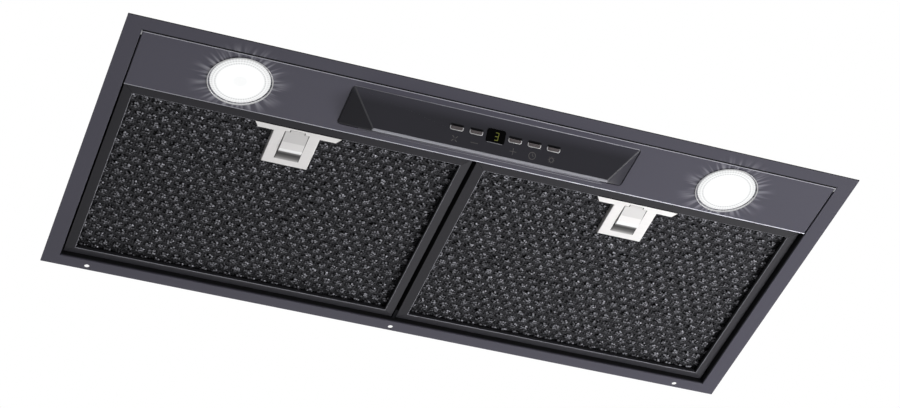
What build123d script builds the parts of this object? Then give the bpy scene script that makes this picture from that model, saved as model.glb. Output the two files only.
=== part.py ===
"""Range hood insert for a 70 cm kitchen cabinet.

The origin is the centre of the flange's upper face, the face that seats against the
underside of the cabinet. X runs to the right, Y to the rear and Z up into the cabinet,
so what a cook sees from below has the lowest Z. All sizes are in millimetres.
"""

from build123d import *
import math
import os

# Trim frame: the visible flange with its inner edge turned up into walls
FLANGE_WIDTH = 700.0
FLANGE_DEPTH = 339.0
FLANGE_SIDE = 16.0
FLANGE_FRONT = 15.3
FLANGE_REAR = 13.3
TRIM_SHEET = 1.0
TRIM_HEIGHT = 12.0
FOLD_RADIUS = 0.8
FOLD_OUTSIDE = 1.2
CORNER_NOTCH = 6.0
SCREW_SPAN = 612.0
SCREW_EDGE = 5.0
SCREW_HOLE_RADIUS = 2.5

# Galvanised casing: a wide pan under a blower housing, behind one sloping front
CASING_SHEET = 0.8
CASING_HEIGHT = 170.0
CASING_FRONT_WALL = 12.5
SLOPE_TO_OUTLET = 94.0
PAN_HEIGHT = 70.0
HOUSING_X = 132.0
HOUSING_FOOT = 12.0
HOUSING_SCREWS = 160.0
CASING_LIP = 12.0
CASING_FOOT_GAP = 0.1
LIP_RELIEF = 4.0

# Lamp panel in front of the filters
PANEL_GAP = 1.2
PANEL_DEPTH = 67.5
PANEL_FOLD = 12.0
PANEL_RETURN = 16.0
PANEL_ROW = 49.5
LAMP_SPACING = 472.0
SADDLE_DEPTH = 40.0

# Lamps
LAMP_HOLE_RADIUS = 27.4
LAMP_RING_RADIUS = 29.65
LAMP_RING_WIDTH = 1.25
LAMP_RING_PROUD = 1.4
LAMP_NECK = 6.0
LAMP_NECK_WALL = 1.4
LAMP_BODY_HEIGHT = 20.0
LAMP_CLIP_WIDTH = 8.0
LAMP_CLIP_SHEET = 0.8
LAMP_CLIP_HOOK = 2.0
LAMP_CLIP_REACH = 9.0
LAMP_CLIP_TOE = 3.0
LAMP_CLIP_LIFT = 0.6
LAMP_FINS = 7
LAMP_FIN_PITCH = 6.5
LAMP_FIN_SHEET = 1.6
LAMP_FIT = 0.2
LENS_RIM = 2.6
LENS_DISH = 0.8

# Control console hanging below the lamp panel: a hipped wedge
CONSOLE_WIDTH = 276.0
CONSOLE_START = 24.5
CONSOLE_FRONT_RUN = 25.0
CONSOLE_REAR_RUN = 24.5
CONSOLE_END_RUN = 26.0
CONSOLE_DROP = 25.0
CONSOLE_WALL = 2.2
CONSOLE_GAP = 1.0
CONSOLE_RIM = 5.0
CONSOLE_RIM_SHEET = 2.0
CONSOLE_ROUND = 2.5

# Buttons and display on the console's front slope, measured down the slope
BUTTON_PITCH = 18.7
BUTTON_ROW = 16.4
BUTTON_WIDTH = 13.0
BUTTON_HEIGHT = 4.8
BUTTON_CORNER = 1.3
BUTTON_RIM = 1.0
BUTTON_FIT = 0.15
BUTTON_PROUD = 0.9
BUTTON_TRAVEL = 0.8
BEZEL_PROUD = 0.5
BEZEL_INSIDE = 0.6
SHOULDER_INSET = 0.2
SHOULDER_THICKNESS = 1.2
STEM_WIDTH = 2.4
STEM_SLACK = 0.2
DISPLAY_WIDTH = 18.0
DISPLAY_HEIGHT = 13.0
DISPLAY_CORNER = 2.5
DISPLAY_PROUD = 0.15
MODULE_INSET = 2.0
INSERT_FIT = 0.05

# Circuit board behind the slope
BOARD_SETBACK = 11.0
BOARD_LENGTH = 150.0
BOARD_BREADTH = 24.0
BOARD_MIDDLE = 18.0
BOARD_SHEET = 1.6
BOSS_WIDTH = 5.0
BOARD_SCREW_RADIUS = 2.2
BOARD_SCREW_HEAD = 1.4
SWITCH_SIZE = 6.0
SWITCH_HEIGHT = 3.5
SWITCH_PLUNGER = 0.8

# Filters
FILTER_GAP = 4.7
FILTER_SIDE_GAP = 2.7
FILTER_FRONT_GAP = 3.5
FILTER_REAR_GAP = 1.7
FILTER_BORDER = 9.5
FILTER_SETBACK = 2.3
FILTER_SLOPE = 2.0
FILTER_THICKNESS = 14.0
FILTER_SHEET = 1.0
FILTER_TOP_LIP = 7.0
MESH_DEPTH = 4.5
MESH_GRIP = 6.0
MESH_SHEET = 0.8
MESH_ROW = 10.0
MESH_RISE = 0.8
BACK_ROW = 20.0
CORE_THICKNESS = 2.6
LAYER_FIT = 0.1
MITRE_SEAM = 0.3

# Filter pivots: pins in the filter's sides turn in ears of a rail on the rear wall
PIVOT_RADIUS = 2.0
PIVOT_FIT = 0.05
PIVOT_FROM_REAR = 6.0
PIVOT_HEIGHT = 8.0
PIVOT_TAIL = 2.0
EAR_SHEET = 1.5
MIDDLE_EAR = 3.0
EAR_BACK = 5.5
EAR_BELOW = 4.5
RAIL_HEIGHT = 10.0
PIN_END_GAP = 0.4

# Latch in each filter's front edge
LATCH_BAR_WIDTH = 83.0
LATCH_BAR_TIP = 4.5
LATCH_BAR_DEPTH = 7.0
LATCH_WIDTH = 44.0
LATCH_LENGTH = 49.5
LATCH_SHEET = 1.2
LATCH_SETBACK = 0.7
LATCH_BEND = 1.0
SLIDER_WIDTH = 21.7
SLIDER_START = 3.4
SLIDER_LENGTH = 35.0
SLIDER_FIT = 0.3
SLIDER_TAB = 13.0
SLIDER_TAB_LENGTH = 2.6
SLIDER_CREST = 23.5
SLIDER_RISE = 5.0
SLIDER_BODY = 26.0
SLIDER_TRAVEL = 5.0
SLIDER_WING = 3.5
SLIDER_BASE = 1.5
SLIDER_CREST_RUN = 3.4
SLIDER_CREST_DROP = 2.2
SLIDER_CREST_BULGE = 0.4
SLIDER_TAIL_EDGE = 0.5
TONGUE_WIDTH = 18.0
TONGUE_SHEET = 1.6
TONGUE_BITE = 3.0
TONGUE_FIT = 0.3
SPRING_RADIUS = 1.9

# Blower: a double-inlet wheel on a motor, in a scroll housing below the outlet
BLOWER_GAP = 3.5
BLADE_DEPTH = 12.0
WHEEL_TOP_GAP = 11.2
WHEEL_HALF = 64.0
WHEEL_SHEET = 1.2
WHEEL_HUB = 12.0
BLADE_COUNT = 22
BLADE_SHEET = 1.1
BLADE_LEAD = 13.0
BLADE_BOW = 0.6
BLADE_INSET = 0.8
SHAFT_RADIUS = 4.0
SHAFT_FIT = 0.05
SHAFT_STUB = 2.0
WHEEL_TIP_GAP = 9.0
SCROLL_GROWTH = 4.0
SCROLL_THROAT = 14.0
SCROLL_NOSE = 5.0
SCROLL_SHEET = 1.2
SCROLL_SIDE_GAP = 5.8
CHEEK_MARGIN = 6.0
INLET_STEP = 2.0
INLET_LIP = 2.4
INLET_WHEEL_GAP = 1.0
MOTOR_AIR_GAP = 12.0
MOTOR_START = 14.0
MOTOR_LENGTH = 66.0
MOTOR_BORE = 14.0
BRACKET_SHEET = 2.0
BRACKET_ARM = 14.0
BRACKET_FOOT = 12.0
BRACKET_CLEAR = 10.0
BRACKET_HUB = 30.0

# Outlet collar with its two damper flaps
OUTLET_FROM_REAR = 70.0
COLLAR_RADIUS = 62.5
COLLAR_WALL = 1.5
COLLAR_HEIGHT = 35.0
COLLAR_BASE = 138.0
COLLAR_CORNER = 10.0
COLLAR_SCREW_EDGE = 12.0
COLLAR_LEDGE = 3.5
SPINDLE_RADIUS = 1.5
SPINDLE_HEIGHT = 5.0
FLAP_SHEET = 1.2
FLAP_EDGE_GAP = 1.5
FLAP_REST_GAP = 0.3
FLAP_SPLIT = 1.0
KNUCKLE_RADIUS = 3.0
KNUCKLE_LENGTH = 14.0
KNUCKLE_PITCH = 38.0
KNUCKLE_GAP = 1.0

# Electrical parts
TERMINAL_FROM_END = 75.0
TERMINAL_Y = 75.0
TERMINAL_WIDTH = 90.0
TERMINAL_DEPTH = 70.0
TERMINAL_HEIGHT = 36.0
TERMINAL_WALL = 2.0
TERMINAL_CORNER = 3.0
GLAND_NECK = 8.0
GLAND_NUT = 11.0
GLAND_BORE = 4.2
GLAND_OUT = 20.0
GLAND_HEX = 7.0
GLAND_NUT_INSIDE = 3.0
CAPACITOR_RADIUS = 17.0
CAPACITOR_LENGTH = 62.0
DRIVER_FROM_END = 99.0
DRIVER_WIDTH = 90.0
DRIVER_DEPTH = 24.0
DRIVER_HEIGHT = 36.0
DRIVER_CHAMFER = 2.0
DRIVER_DROP = 1.2

# Fixings
SCREW_HEAD_RADIUS = 3.6
SCREW_HEAD_HEIGHT = 2.2
CLIP_WIDTH = 24.0
CLIP_SHEET = 0.8
CLIP_BULGE = 8.0
CLIP_TOP = 62.0
CLIP_BEND = 48.0
CLIP_CREST = 24.0
CLIP_FOOT = 8.0
CLIP_TIP = 1.5

# Places worked out from the sizes above
APERTURE_X = FLANGE_WIDTH / 2 - FLANGE_SIDE
APERTURE_FRONT = -FLANGE_DEPTH / 2 + FLANGE_FRONT
APERTURE_REAR = FLANGE_DEPTH / 2 - FLANGE_REAR
CASING_X = APERTURE_X + TRIM_SHEET
CASING_FRONT = APERTURE_FRONT - TRIM_SHEET
CASING_REAR = APERTURE_REAR + TRIM_SHEET
CEILING = CASING_HEIGHT - CASING_SHEET
PAN_CEILING = PAN_HEIGHT - CASING_SHEET
OUTLET_Y = CASING_REAR + CASING_SHEET - OUTLET_FROM_REAR
SLOPE_RUN = OUTLET_Y - SLOPE_TO_OUTLET - CASING_FRONT
CASING_FOOT = FOLD_OUTSIDE + CASING_FOOT_GAP
PANEL_FACE = -TRIM_SHEET
PANEL_X = APERTURE_X - PANEL_GAP
PANEL_FRONT = APERTURE_FRONT + PANEL_GAP
PANEL_REAR = PANEL_FRONT + PANEL_DEPTH
ROW_Y = -FLANGE_DEPTH / 2 + PANEL_ROW
CONSOLE_FRONT = -FLANGE_DEPTH / 2 + CONSOLE_START
RIDGE_Y = CONSOLE_FRONT + CONSOLE_FRONT_RUN
CONSOLE_REAR = RIDGE_Y + CONSOLE_REAR_RUN
SLOPE = math.hypot(CONSOLE_FRONT_RUN, CONSOLE_DROP)
CONSOLE_FACE = Plane(
    origin=(0, CONSOLE_FRONT, PANEL_FACE),
    x_dir=(1, 0, 0),
    z_dir=(0, -CONSOLE_DROP / SLOPE, -CONSOLE_FRONT_RUN / SLOPE),
)
BUTTONS = {"fan": -2, "minus": -1, "plus": 1, "timer": 2, "light": 3}
FILTER_INNER_X = FILTER_GAP / 2
FILTER_OUTER_X = APERTURE_X - FILTER_SIDE_GAP
FILTER_WIDTH = FILTER_OUTER_X - FILTER_INNER_X
FILTER_X = (FILTER_OUTER_X + FILTER_INNER_X) / 2
FILTER_FRONT = PANEL_REAR + FILTER_FRONT_GAP
FILTER_REAR = APERTURE_REAR - FILTER_REAR_GAP
FILTER_DEPTH = FILTER_REAR - FILTER_FRONT
FILTER_Y = (FILTER_REAR + FILTER_FRONT) / 2
FILTER_EDGE = FILTER_SETBACK + FILTER_SLOPE
FILTER_TOP = FILTER_SETBACK + FILTER_THICKNESS
MESH_LOW = FILTER_SETBACK + MESH_DEPTH
MESH_TOP = MESH_LOW + 2 * MESH_RISE + MESH_SHEET
CORE_LOW = MESH_TOP + LAYER_FIT
CORE_TOP = CORE_LOW + CORE_THICKNESS
BACK_LOW = CORE_TOP + LAYER_FIT
BACK_TOP = FILTER_TOP - FILTER_SHEET - LAYER_FIT
PIVOT_Y = FILTER_REAR - PIVOT_FROM_REAR
LATCH_FRONT = FILTER_FRONT + FILTER_BORDER
LATCH_FACE = FILTER_SETBACK + LATCH_SETBACK
LATCH_BACK = LATCH_FACE + LATCH_SHEET
LATCH_REAR = LATCH_FRONT + LATCH_LENGTH
SLIDER_FRONT = LATCH_FRONT + SLIDER_START
TONGUE_LOW = MESH_LOW + LAYER_FIT
TONGUE_TOP = TONGUE_LOW + TONGUE_SHEET
BLOWER_LOW = FILTER_TOP + BLOWER_GAP + CHEEK_MARGIN + SCROLL_SHEET
WHEEL_RADIUS = (CEILING - BLOWER_LOW - WHEEL_TIP_GAP - 3 * SCROLL_GROWTH - WHEEL_TOP_GAP) / 2
WHEEL_INNER = WHEEL_RADIUS - BLADE_DEPTH
WHEEL_HEIGHT = CEILING - WHEEL_TOP_GAP - WHEEL_RADIUS
SCROLL_START = WHEEL_RADIUS + WHEEL_TIP_GAP
INLET_RADIUS = WHEEL_INNER - INLET_STEP
MOTOR_RADIUS = WHEEL_INNER - MOTOR_AIR_GAP
BRACKET_REACH = INLET_RADIUS + BRACKET_CLEAR + BRACKET_FOOT
WHEEL_Y = OUTLET_Y - (SCROLL_THROAT + SCROLL_START + 5 * SCROLL_GROWTH) / 2
SCROLL_X = WHEEL_HALF + WHEEL_SHEET + SCROLL_SIDE_GAP
CHEEK_X = SCROLL_X + SCROLL_SHEET
COLLAR_INNER = COLLAR_RADIUS - COLLAR_WALL
SPINDLE_Z = CASING_HEIGHT + SPINDLE_HEIGHT
TERMINAL_X = CASING_X - TERMINAL_FROM_END
OVERSHOOT = 1.0


def block(x, y, z):
    """A box between the low and high values given for each axis."""
    size = [high - low for low, high in (x, y, z)]
    middle = [(low + high) / 2 for low, high in (x, y, z)]
    return Pos(*middle) * Box(*size)


def around(middle, length):
    """The low and high ends of a length centred on a value."""
    return (middle - length / 2, middle + length / 2)


def rod_x(low, high, y, z, radius):
    return Pos((low + high) / 2, y, z) * Rot(0, 90, 0) * Cylinder(radius, high - low)


def rod_z(x, y, low, high, radius):
    return Pos(x, y, (low + high) / 2) * Cylinder(radius, high - low)


def group(solids):
    """Separate solids that share one node."""
    return Part() + list(solids)


def mirrored(shape):
    """The same piece on the other side of the hood's middle."""
    return mirror(shape, about=Plane.YZ)


def edges_at(shape, axis, value):
    return [e for e in shape.edges() if abs(tuple(e.center())[axis] - value) < 1e-4]


def inner_prism(half_width, front, rear, low, high):
    return block((-half_width, half_width), (front, rear), (low, high))


# ---------------------------------------------------------------- trim and casing


def trim_frame():
    """Flange and turned-up walls, folded from one sheet."""
    flange = block(around(0, FLANGE_WIDTH), around(0, FLANGE_DEPTH), (PANEL_FACE, 0))
    walls = inner_prism(CASING_X, CASING_FRONT, CASING_REAR, PANEL_FACE, TRIM_HEIGHT)
    hollow = inner_prism(
        APERTURE_X, APERTURE_FRONT, APERTURE_REAR, PANEL_FACE - OVERSHOOT, TRIM_HEIGHT + OVERSHOOT
    )
    fold = Pos(0, (CASING_FRONT + CASING_REAR) / 2, 0) * extrude(
        Rectangle(2 * (CASING_X + FOLD_OUTSIDE), CASING_REAR - CASING_FRONT + 2 * FOLD_OUTSIDE),
        FOLD_OUTSIDE,
        taper=45,
    )
    frame = flange + walls + fold - hollow
    inside = [
        e
        for e in edges_at(frame, 2, PANEL_FACE)
        if abs(e.center().X) < APERTURE_X + OVERSHOOT
        and CASING_FRONT < e.center().Y < CASING_REAR
    ]
    frame = fillet(inside, FOLD_RADIUS)
    for x in (-SCREW_SPAN / 2, 0, SCREW_SPAN / 2):
        y = FLANGE_DEPTH / 2 - SCREW_EDGE
        frame -= rod_z(x, y, PANEL_FACE - OVERSHOOT, OVERSHOOT, SCREW_HOLE_RADIUS)
    for side in (-1, 1):
        frame -= block(
            around(side * (APERTURE_X + TRIM_SHEET / 2), TRIM_SHEET),
            (APERTURE_FRONT, APERTURE_FRONT + CORNER_NOTCH),
            (0, TRIM_HEIGHT + OVERSHOOT),
        )
    return frame


def casing_inside(ceiling):
    """Inside of the casing in Y and Z: front wall, slope, ceiling and rear wall."""
    rise = ceiling - CASING_FRONT_WALL
    crest = CASING_FRONT + rise * SLOPE_RUN / (CEILING - CASING_FRONT_WALL)
    outline = Polyline(
        (CASING_FRONT, -CASING_LIP),
        (CASING_FRONT, CASING_FRONT_WALL),
        (crest, ceiling),
        (CASING_REAR, ceiling),
        (CASING_REAR, -CASING_LIP),
        close=True,
    )
    face = make_face(outline)
    return fillet([v for v in face.vertices() if v.Y > 0], FOLD_RADIUS)


def casing_outside(ceiling):
    return offset(casing_inside(ceiling), CASING_SHEET, kind=Kind.INTERSECTION)


def between(face, low, high):
    """The part of a face in Y and Z that lies between two heights."""
    return face & Pos(0, (low + high) / 2) * Rectangle(2 * FLANGE_DEPTH, high - low)


def casing_wrapper():
    """Pan's front wall, slope, top and rear wall, bent from one sheet, open to the housing."""
    band = casing_outside(PAN_CEILING) - casing_inside(PAN_CEILING)
    pan = extrude(Plane.YZ * between(band, CASING_FOOT, PAN_HEIGHT), CASING_X, both=True)
    return pan - block(
        (-HOUSING_X, HOUSING_X), (CASING_FRONT, FLANGE_DEPTH), (PAN_CEILING, CASING_HEIGHT)
    )


def casing_end():
    """Pan's right end wall, with its lips turned in behind the wrapper."""
    plate = between(casing_outside(PAN_CEILING), CASING_FOOT, PAN_HEIGHT)
    wall = Pos(CASING_X, 0, 0) * extrude(Plane.YZ * plate, CASING_SHEET)
    lip_x = (CASING_X - CASING_LIP, CASING_X)
    low = FILTER_TOP + 2 * CASING_LIP
    top = block(
        lip_x,
        (FILTER_FRONT, CASING_REAR - LIP_RELIEF),
        (PAN_CEILING - CASING_SHEET, PAN_CEILING),
    )
    rear = block(
        lip_x, (CASING_REAR - CASING_SHEET, CASING_REAR), (low, PAN_CEILING - LIP_RELIEF)
    )
    return wall + top + rear


def blower_housing():
    """Housing's slope, top and rear wall, with the air outlet in the top."""
    band = casing_outside(CEILING) - casing_inside(CEILING)
    shell = between(band, PAN_CEILING, CASING_HEIGHT)
    housing = extrude(Plane.YZ * shell, HOUSING_X, both=True)
    return housing - rod_z(
        0, OUTLET_Y, CEILING - OVERSHOOT, CASING_HEIGHT + OVERSHOOT, COLLAR_INNER - COLLAR_LEDGE
    )


def housing_sides():
    """Housing's side walls, each with a foot turned out on the pan's top."""
    plate = between(casing_outside(CEILING), PAN_HEIGHT, CASING_HEIGHT)
    side = Pos(HOUSING_X, 0, 0) * extrude(Plane.YZ * plate, CASING_SHEET)
    side += block(
        (HOUSING_X, HOUSING_X + CASING_SHEET + HOUSING_FOOT),
        (FILTER_FRONT, CASING_REAR - LIP_RELIEF),
        (PAN_HEIGHT, PAN_HEIGHT + CASING_SHEET),
    )
    return group([side, mirrored(side)])


def side_clips():
    """Leaf springs on the end walls that grip the edges of the cabinet's cut-out."""
    base = CASING_X + CASING_SHEET + CLIP_SHEET / 2
    route = Polyline(
        (base, CLIP_TOP), (base, CLIP_BEND), (base + CLIP_BULGE - CLIP_SHEET, CLIP_CREST),
        (base + CLIP_TIP, CLIP_FOOT),
    )
    leaf = extrude(Plane.XZ * trace(route, CLIP_SHEET), CLIP_WIDTH)
    middle = leaf.bounding_box().center()
    leaf = Pos(0, FILTER_FRONT - middle.Y, 0) * leaf
    wall = block((0, CASING_X + CASING_SHEET), around(0, FLANGE_DEPTH), (-CASING_HEIGHT, CASING_HEIGHT))
    leaf -= wall
    return group([leaf, mirrored(leaf)])


# ---------------------------------------------------------------- lamp panel and lamps


def lamp_panel():
    """Folded panel with the lamp holes, the console opening and the latch slots."""
    outer = inner_prism(PANEL_X, PANEL_FRONT, PANEL_REAR, PANEL_FACE, PANEL_RETURN)
    outer = fillet(edges_at(outer, 2, PANEL_FACE), FOLD_RADIUS)
    inner = inner_prism(
        PANEL_X - TRIM_SHEET, PANEL_FRONT + TRIM_SHEET, PANEL_REAR - TRIM_SHEET,
        0, PANEL_RETURN + OVERSHOOT,
    )
    panel = outer - inner
    panel -= inner_prism(
        PANEL_X + OVERSHOOT, PANEL_FRONT - OVERSHOOT, PANEL_REAR - TRIM_SHEET,
        PANEL_FOLD, PANEL_RETURN + OVERSHOOT,
    )
    through = (PANEL_FACE - OVERSHOOT, OVERSHOOT)
    opening = inner_prism(
        CONSOLE_WIDTH / 2 + CONSOLE_GAP,
        CONSOLE_FRONT - CONSOLE_GAP,
        CONSOLE_REAR + CONSOLE_GAP,
        *through,
    )
    panel -= fillet(opening.edges().filter_by(Axis.Z), CONSOLE_ROUND + CONSOLE_GAP)
    for side in (-1, 1):
        panel -= rod_z(side * LAMP_SPACING / 2, ROW_Y, *through, LAMP_HOLE_RADIUS)
        panel -= block(
            around(side * FILTER_X, TONGUE_WIDTH + 4 * TONGUE_FIT),
            (PANEL_REAR - TRIM_SHEET - OVERSHOOT, PANEL_REAR + OVERSHOOT),
            (TONGUE_LOW - TONGUE_FIT, TONGUE_TOP + TONGUE_FIT),
        )
    return panel


def panel_saddles():
    """Saddle clips that hold the lamp panel's end folds to the trim frame's side walls."""
    y = around(ROW_Y, SADDLE_DEPTH)
    outer_leaf = block((PANEL_X, APERTURE_X), y, (0, PANEL_FOLD))
    bridge = block(
        (PANEL_X - TRIM_SHEET - PANEL_GAP, APERTURE_X), y, (PANEL_FOLD, PANEL_FOLD + PANEL_GAP)
    )
    inner_leaf = block(
        (PANEL_X - TRIM_SHEET - PANEL_GAP, PANEL_X - TRIM_SHEET), y, (PANEL_FOLD / 2, PANEL_FOLD)
    )
    saddle = outer_leaf + bridge + inner_leaf
    return group([saddle, mirrored(saddle)])


def at_both_lamps(piece):
    """The left and right lamp's copies of a piece as one group."""
    return group(piece(side * LAMP_SPACING / 2) for side in (-1, 1))


def turned(points, x):
    """A solid turned about the lamp axis from (radius, height) points."""
    outline = make_face(Polyline(*points, close=True))
    return Pos(x, ROW_Y, 0) * revolve(Plane.XZ * outline, axis=Axis.Z)


def lamp_ring(x):
    """Bright ring on the panel with a neck through the lamp hole."""
    inner = LAMP_RING_RADIUS - LAMP_RING_WIDTH
    neck = LAMP_HOLE_RADIUS - LAMP_FIT
    bore = neck - LAMP_NECK_WALL
    low = PANEL_FACE - LAMP_RING_PROUD
    return turned(
        [
            (inner, low),
            (LAMP_RING_RADIUS, low + LAMP_RING_PROUD / 3),
            (LAMP_RING_RADIUS, PANEL_FACE),
            (neck, PANEL_FACE),
            (neck, LAMP_NECK),
            (bore, LAMP_NECK),
            (bore, PANEL_FACE + LAMP_FIT),
            (inner, PANEL_FACE - LAMP_RING_PROUD / 4),
        ],
        x,
    )


def lamp_lens(x):
    """Frosted diffuser with a raised outer ring and a dished middle."""
    rim = LAMP_RING_RADIUS - LAMP_RING_WIDTH - 2 * LAMP_FIT
    neck = LAMP_HOLE_RADIUS - LAMP_NECK_WALL - 2 * LAMP_FIT
    face = PANEL_FACE - LAMP_RING_PROUD * 0.7
    seat = PANEL_FACE - LAMP_RING_PROUD / 4
    step = rim - LENS_RIM
    return turned(
        [
            (0, face + LENS_DISH),
            (step - LENS_RIM, face + LENS_DISH),
            (step, face),
            (rim, face),
            (rim, seat - LAMP_FIT),
            (neck, PANEL_FACE),
            (neck, OVERSHOOT),
            (0, OVERSHOOT),
        ],
        x,
    )


def lamp_body(x):
    """Heat sink: a round base seated in the ring's neck, under upright cooling fins."""
    seat = OVERSHOOT + LAMP_FIT
    neck = LAMP_HOLE_RADIUS - LAMP_NECK_WALL - 2 * LAMP_FIT
    body = rod_z(x, ROW_Y, seat, LAMP_NECK, neck)
    for fin in range(LAMP_FINS):
        offset = (fin - (LAMP_FINS - 1) / 2) * LAMP_FIN_PITCH
        half = math.sqrt(neck**2 - (abs(offset) + LAMP_FIN_SHEET) ** 2)
        body += block(
            around(x + offset, LAMP_FIN_SHEET),
            (ROW_Y - half, ROW_Y + half),
            (LAMP_NECK, LAMP_BODY_HEIGHT),
        )
    return body


def lamp_clips():
    """Two leaf springs a lamp, hooked over its neck and pressing on the panel."""
    leaves = []
    neck = LAMP_HOLE_RADIUS - LAMP_FIT
    for side in (-1, 1):
        for way in (-1, 1):
            reach = neck + LAMP_CLIP_REACH
            route = Polyline(
                (neck + LAMP_CLIP_SHEET / 2, LAMP_NECK),
                (neck + LAMP_CLIP_HOOK, LAMP_NECK),
                (reach, LAMP_CLIP_LIFT),
                (reach + LAMP_CLIP_TOE, LAMP_CLIP_LIFT),
            )
            leaf = extrude(Plane.XZ * trace(route, LAMP_CLIP_SHEET), LAMP_CLIP_WIDTH)
            leaf = Pos(0, LAMP_CLIP_WIDTH / 2, 0) * leaf
            leaf -= block((0, 2 * reach), around(0, reach), (-reach, INSERT_FIT))
            leaf -= rod_z(0, 0, -reach, reach, neck + INSERT_FIT)
            leaf = Rot(0, 0, 90 + 90 * way) * leaf
            leaves.append(Pos(side * LAMP_SPACING / 2, ROW_Y, 0) * leaf)
    return group(leaves)


# ---------------------------------------------------------------- control console


def hipped_wedge(inset, top):
    """The console's form: two sloping sides and two sloping ends, moved in by inset."""
    across = Polyline(
        (CONSOLE_FRONT, top),
        (CONSOLE_FRONT, PANEL_FACE),
        (RIDGE_Y, PANEL_FACE - CONSOLE_DROP),
        (CONSOLE_REAR, PANEL_FACE),
        (CONSOLE_REAR, top),
        close=True,
    )
    half = CONSOLE_WIDTH / 2
    along = Polyline(
        (-half, top),
        (-half, PANEL_FACE),
        (-half + CONSOLE_END_RUN, PANEL_FACE - CONSOLE_DROP),
        (half - CONSOLE_END_RUN, PANEL_FACE - CONSOLE_DROP),
        (half, PANEL_FACE),
        (half, top),
        close=True,
    )
    cross_face = make_face(across)
    long_face = make_face(along)
    if inset:
        cross_face = offset(cross_face, -inset, kind=Kind.INTERSECTION)
        long_face = offset(long_face, -inset, kind=Kind.INTERSECTION)
    prism = extrude(Plane.YZ * cross_face, CONSOLE_WIDTH, both=True)
    return prism & extrude(Plane.XZ * long_face, FLANGE_DEPTH, both=True)


def on_slope(x, low, high, shape):
    """A flat outline at x in the button row, raised between two depths off the slope."""
    return CONSOLE_FACE * Pos(x, -BUTTON_ROW, low) * extrude(shape, high - low)


def console_shell():
    """Moulded console: thin walls, a rim above the panel and bosses for the board."""
    top = CONSOLE_RIM_SHEET + 4 * CONSOLE_WALL
    outer = hipped_wedge(0, top)
    sharp = [e for e in outer.edges() if e.center().Z < PANEL_FACE - OVERSHOOT]
    outer = fillet(sharp, CONSOLE_ROUND)
    outer &= inner_prism(
        CONSOLE_WIDTH, CONSOLE_FRONT, CONSOLE_REAR, PANEL_FACE - 2 * CONSOLE_DROP, CONSOLE_RIM_SHEET
    )
    rim = inner_prism(
        CONSOLE_WIDTH / 2 + CONSOLE_RIM, CONSOLE_FRONT - CONSOLE_RIM, CONSOLE_REAR + CONSOLE_RIM,
        0, CONSOLE_RIM_SHEET,
    )
    hollow = hipped_wedge(CONSOLE_WALL, top)
    shell = outer + rim - hollow
    for x in BUTTONS.values():
        shell -= on_slope(x * BUTTON_PITCH, -2 * CONSOLE_WALL, OVERSHOOT, button_outline(INSERT_FIT))
    shell -= on_slope(0, -2 * CONSOLE_WALL, OVERSHOOT, display_outline(INSERT_FIT))
    depth = BOARD_SETBACK - CONSOLE_WALL / 2
    for x, y in boss_places():
        boss = Pos(x, y, -CONSOLE_WALL / 2 - depth / 2) * Box(BOSS_WIDTH, BOSS_WIDTH, depth)
        shell += CONSOLE_FACE * boss
    return shell


def button_outline(grow):
    outline = Rectangle(BUTTON_WIDTH + 2 * grow, BUTTON_HEIGHT + 2 * grow)
    return chamfer(outline.vertices(), BUTTON_CORNER + grow * (2 - math.sqrt(2)))


def display_outline(grow):
    return RectangleRounded(
        DISPLAY_WIDTH + 2 * grow, DISPLAY_HEIGHT + 2 * grow, DISPLAY_CORNER + grow
    )


def boss_places():
    x = BOARD_LENGTH / 2 - BOSS_WIDTH
    y = BOARD_BREADTH / 2 - BOSS_WIDTH / 2
    return [(sx * x, sy * y - BOARD_MIDDLE) for sx in (-1, 1) for sy in (-1, 1)]


def button_bezels():
    """Five bright rims let into the slope."""
    low = -CONSOLE_WALL - BEZEL_INSIDE
    rims = []
    for x in BUTTONS.values():
        rim = on_slope(x * BUTTON_PITCH, low, BEZEL_PROUD, button_outline(0))
        rim -= on_slope(
            x * BUTTON_PITCH, low - OVERSHOOT, BEZEL_PROUD + OVERSHOOT, button_outline(-BUTTON_RIM)
        )
        rims.append(rim)
    return group(rims)


def button_cap(x):
    """Cap through the rim, a shoulder that keeps it in, and a stem towards the switch."""
    cap = button_outline(-BUTTON_RIM - BUTTON_FIT)
    under = -CONSOLE_WALL - BEZEL_INSIDE - BUTTON_FIT
    stem_end = -BOARD_SETBACK + SWITCH_HEIGHT + SWITCH_PLUNGER + BUTTON_TRAVEL + STEM_SLACK
    body = on_slope(x, under - OVERSHOOT / 2, BUTTON_PROUD, cap)
    shoulder = Rectangle(BUTTON_WIDTH - 2 * SHOULDER_INSET, BUTTON_HEIGHT - 2 * SHOULDER_INSET)
    body += on_slope(x, under - SHOULDER_THICKNESS, under, shoulder)
    return body + on_slope(x, stem_end, under, Rectangle(STEM_WIDTH, STEM_WIDTH))


def display_window():
    return on_slope(0, -CONSOLE_WALL, DISPLAY_PROUD, display_outline(0))


def display_module():
    """Digit module on the board behind the window."""
    size = Rectangle(DISPLAY_WIDTH - 2 * MODULE_INSET, DISPLAY_HEIGHT - MODULE_INSET)
    return on_slope(0, -BOARD_SETBACK, -CONSOLE_WALL - LAMP_FIT, size)


def control_board():
    return CONSOLE_FACE * Pos(0, -BOARD_MIDDLE, -BOARD_SETBACK - BOARD_SHEET / 2) * Box(
        BOARD_LENGTH, BOARD_BREADTH, BOARD_SHEET
    )


def board_screws():
    back = -BOARD_SETBACK - BOARD_SHEET
    screw = screw_head(BOARD_SCREW_RADIUS, BOARD_SCREW_HEAD)
    return group(
        CONSOLE_FACE * Pos(x, y, back - BOARD_SCREW_HEAD) * screw for x, y in boss_places()
    )


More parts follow.
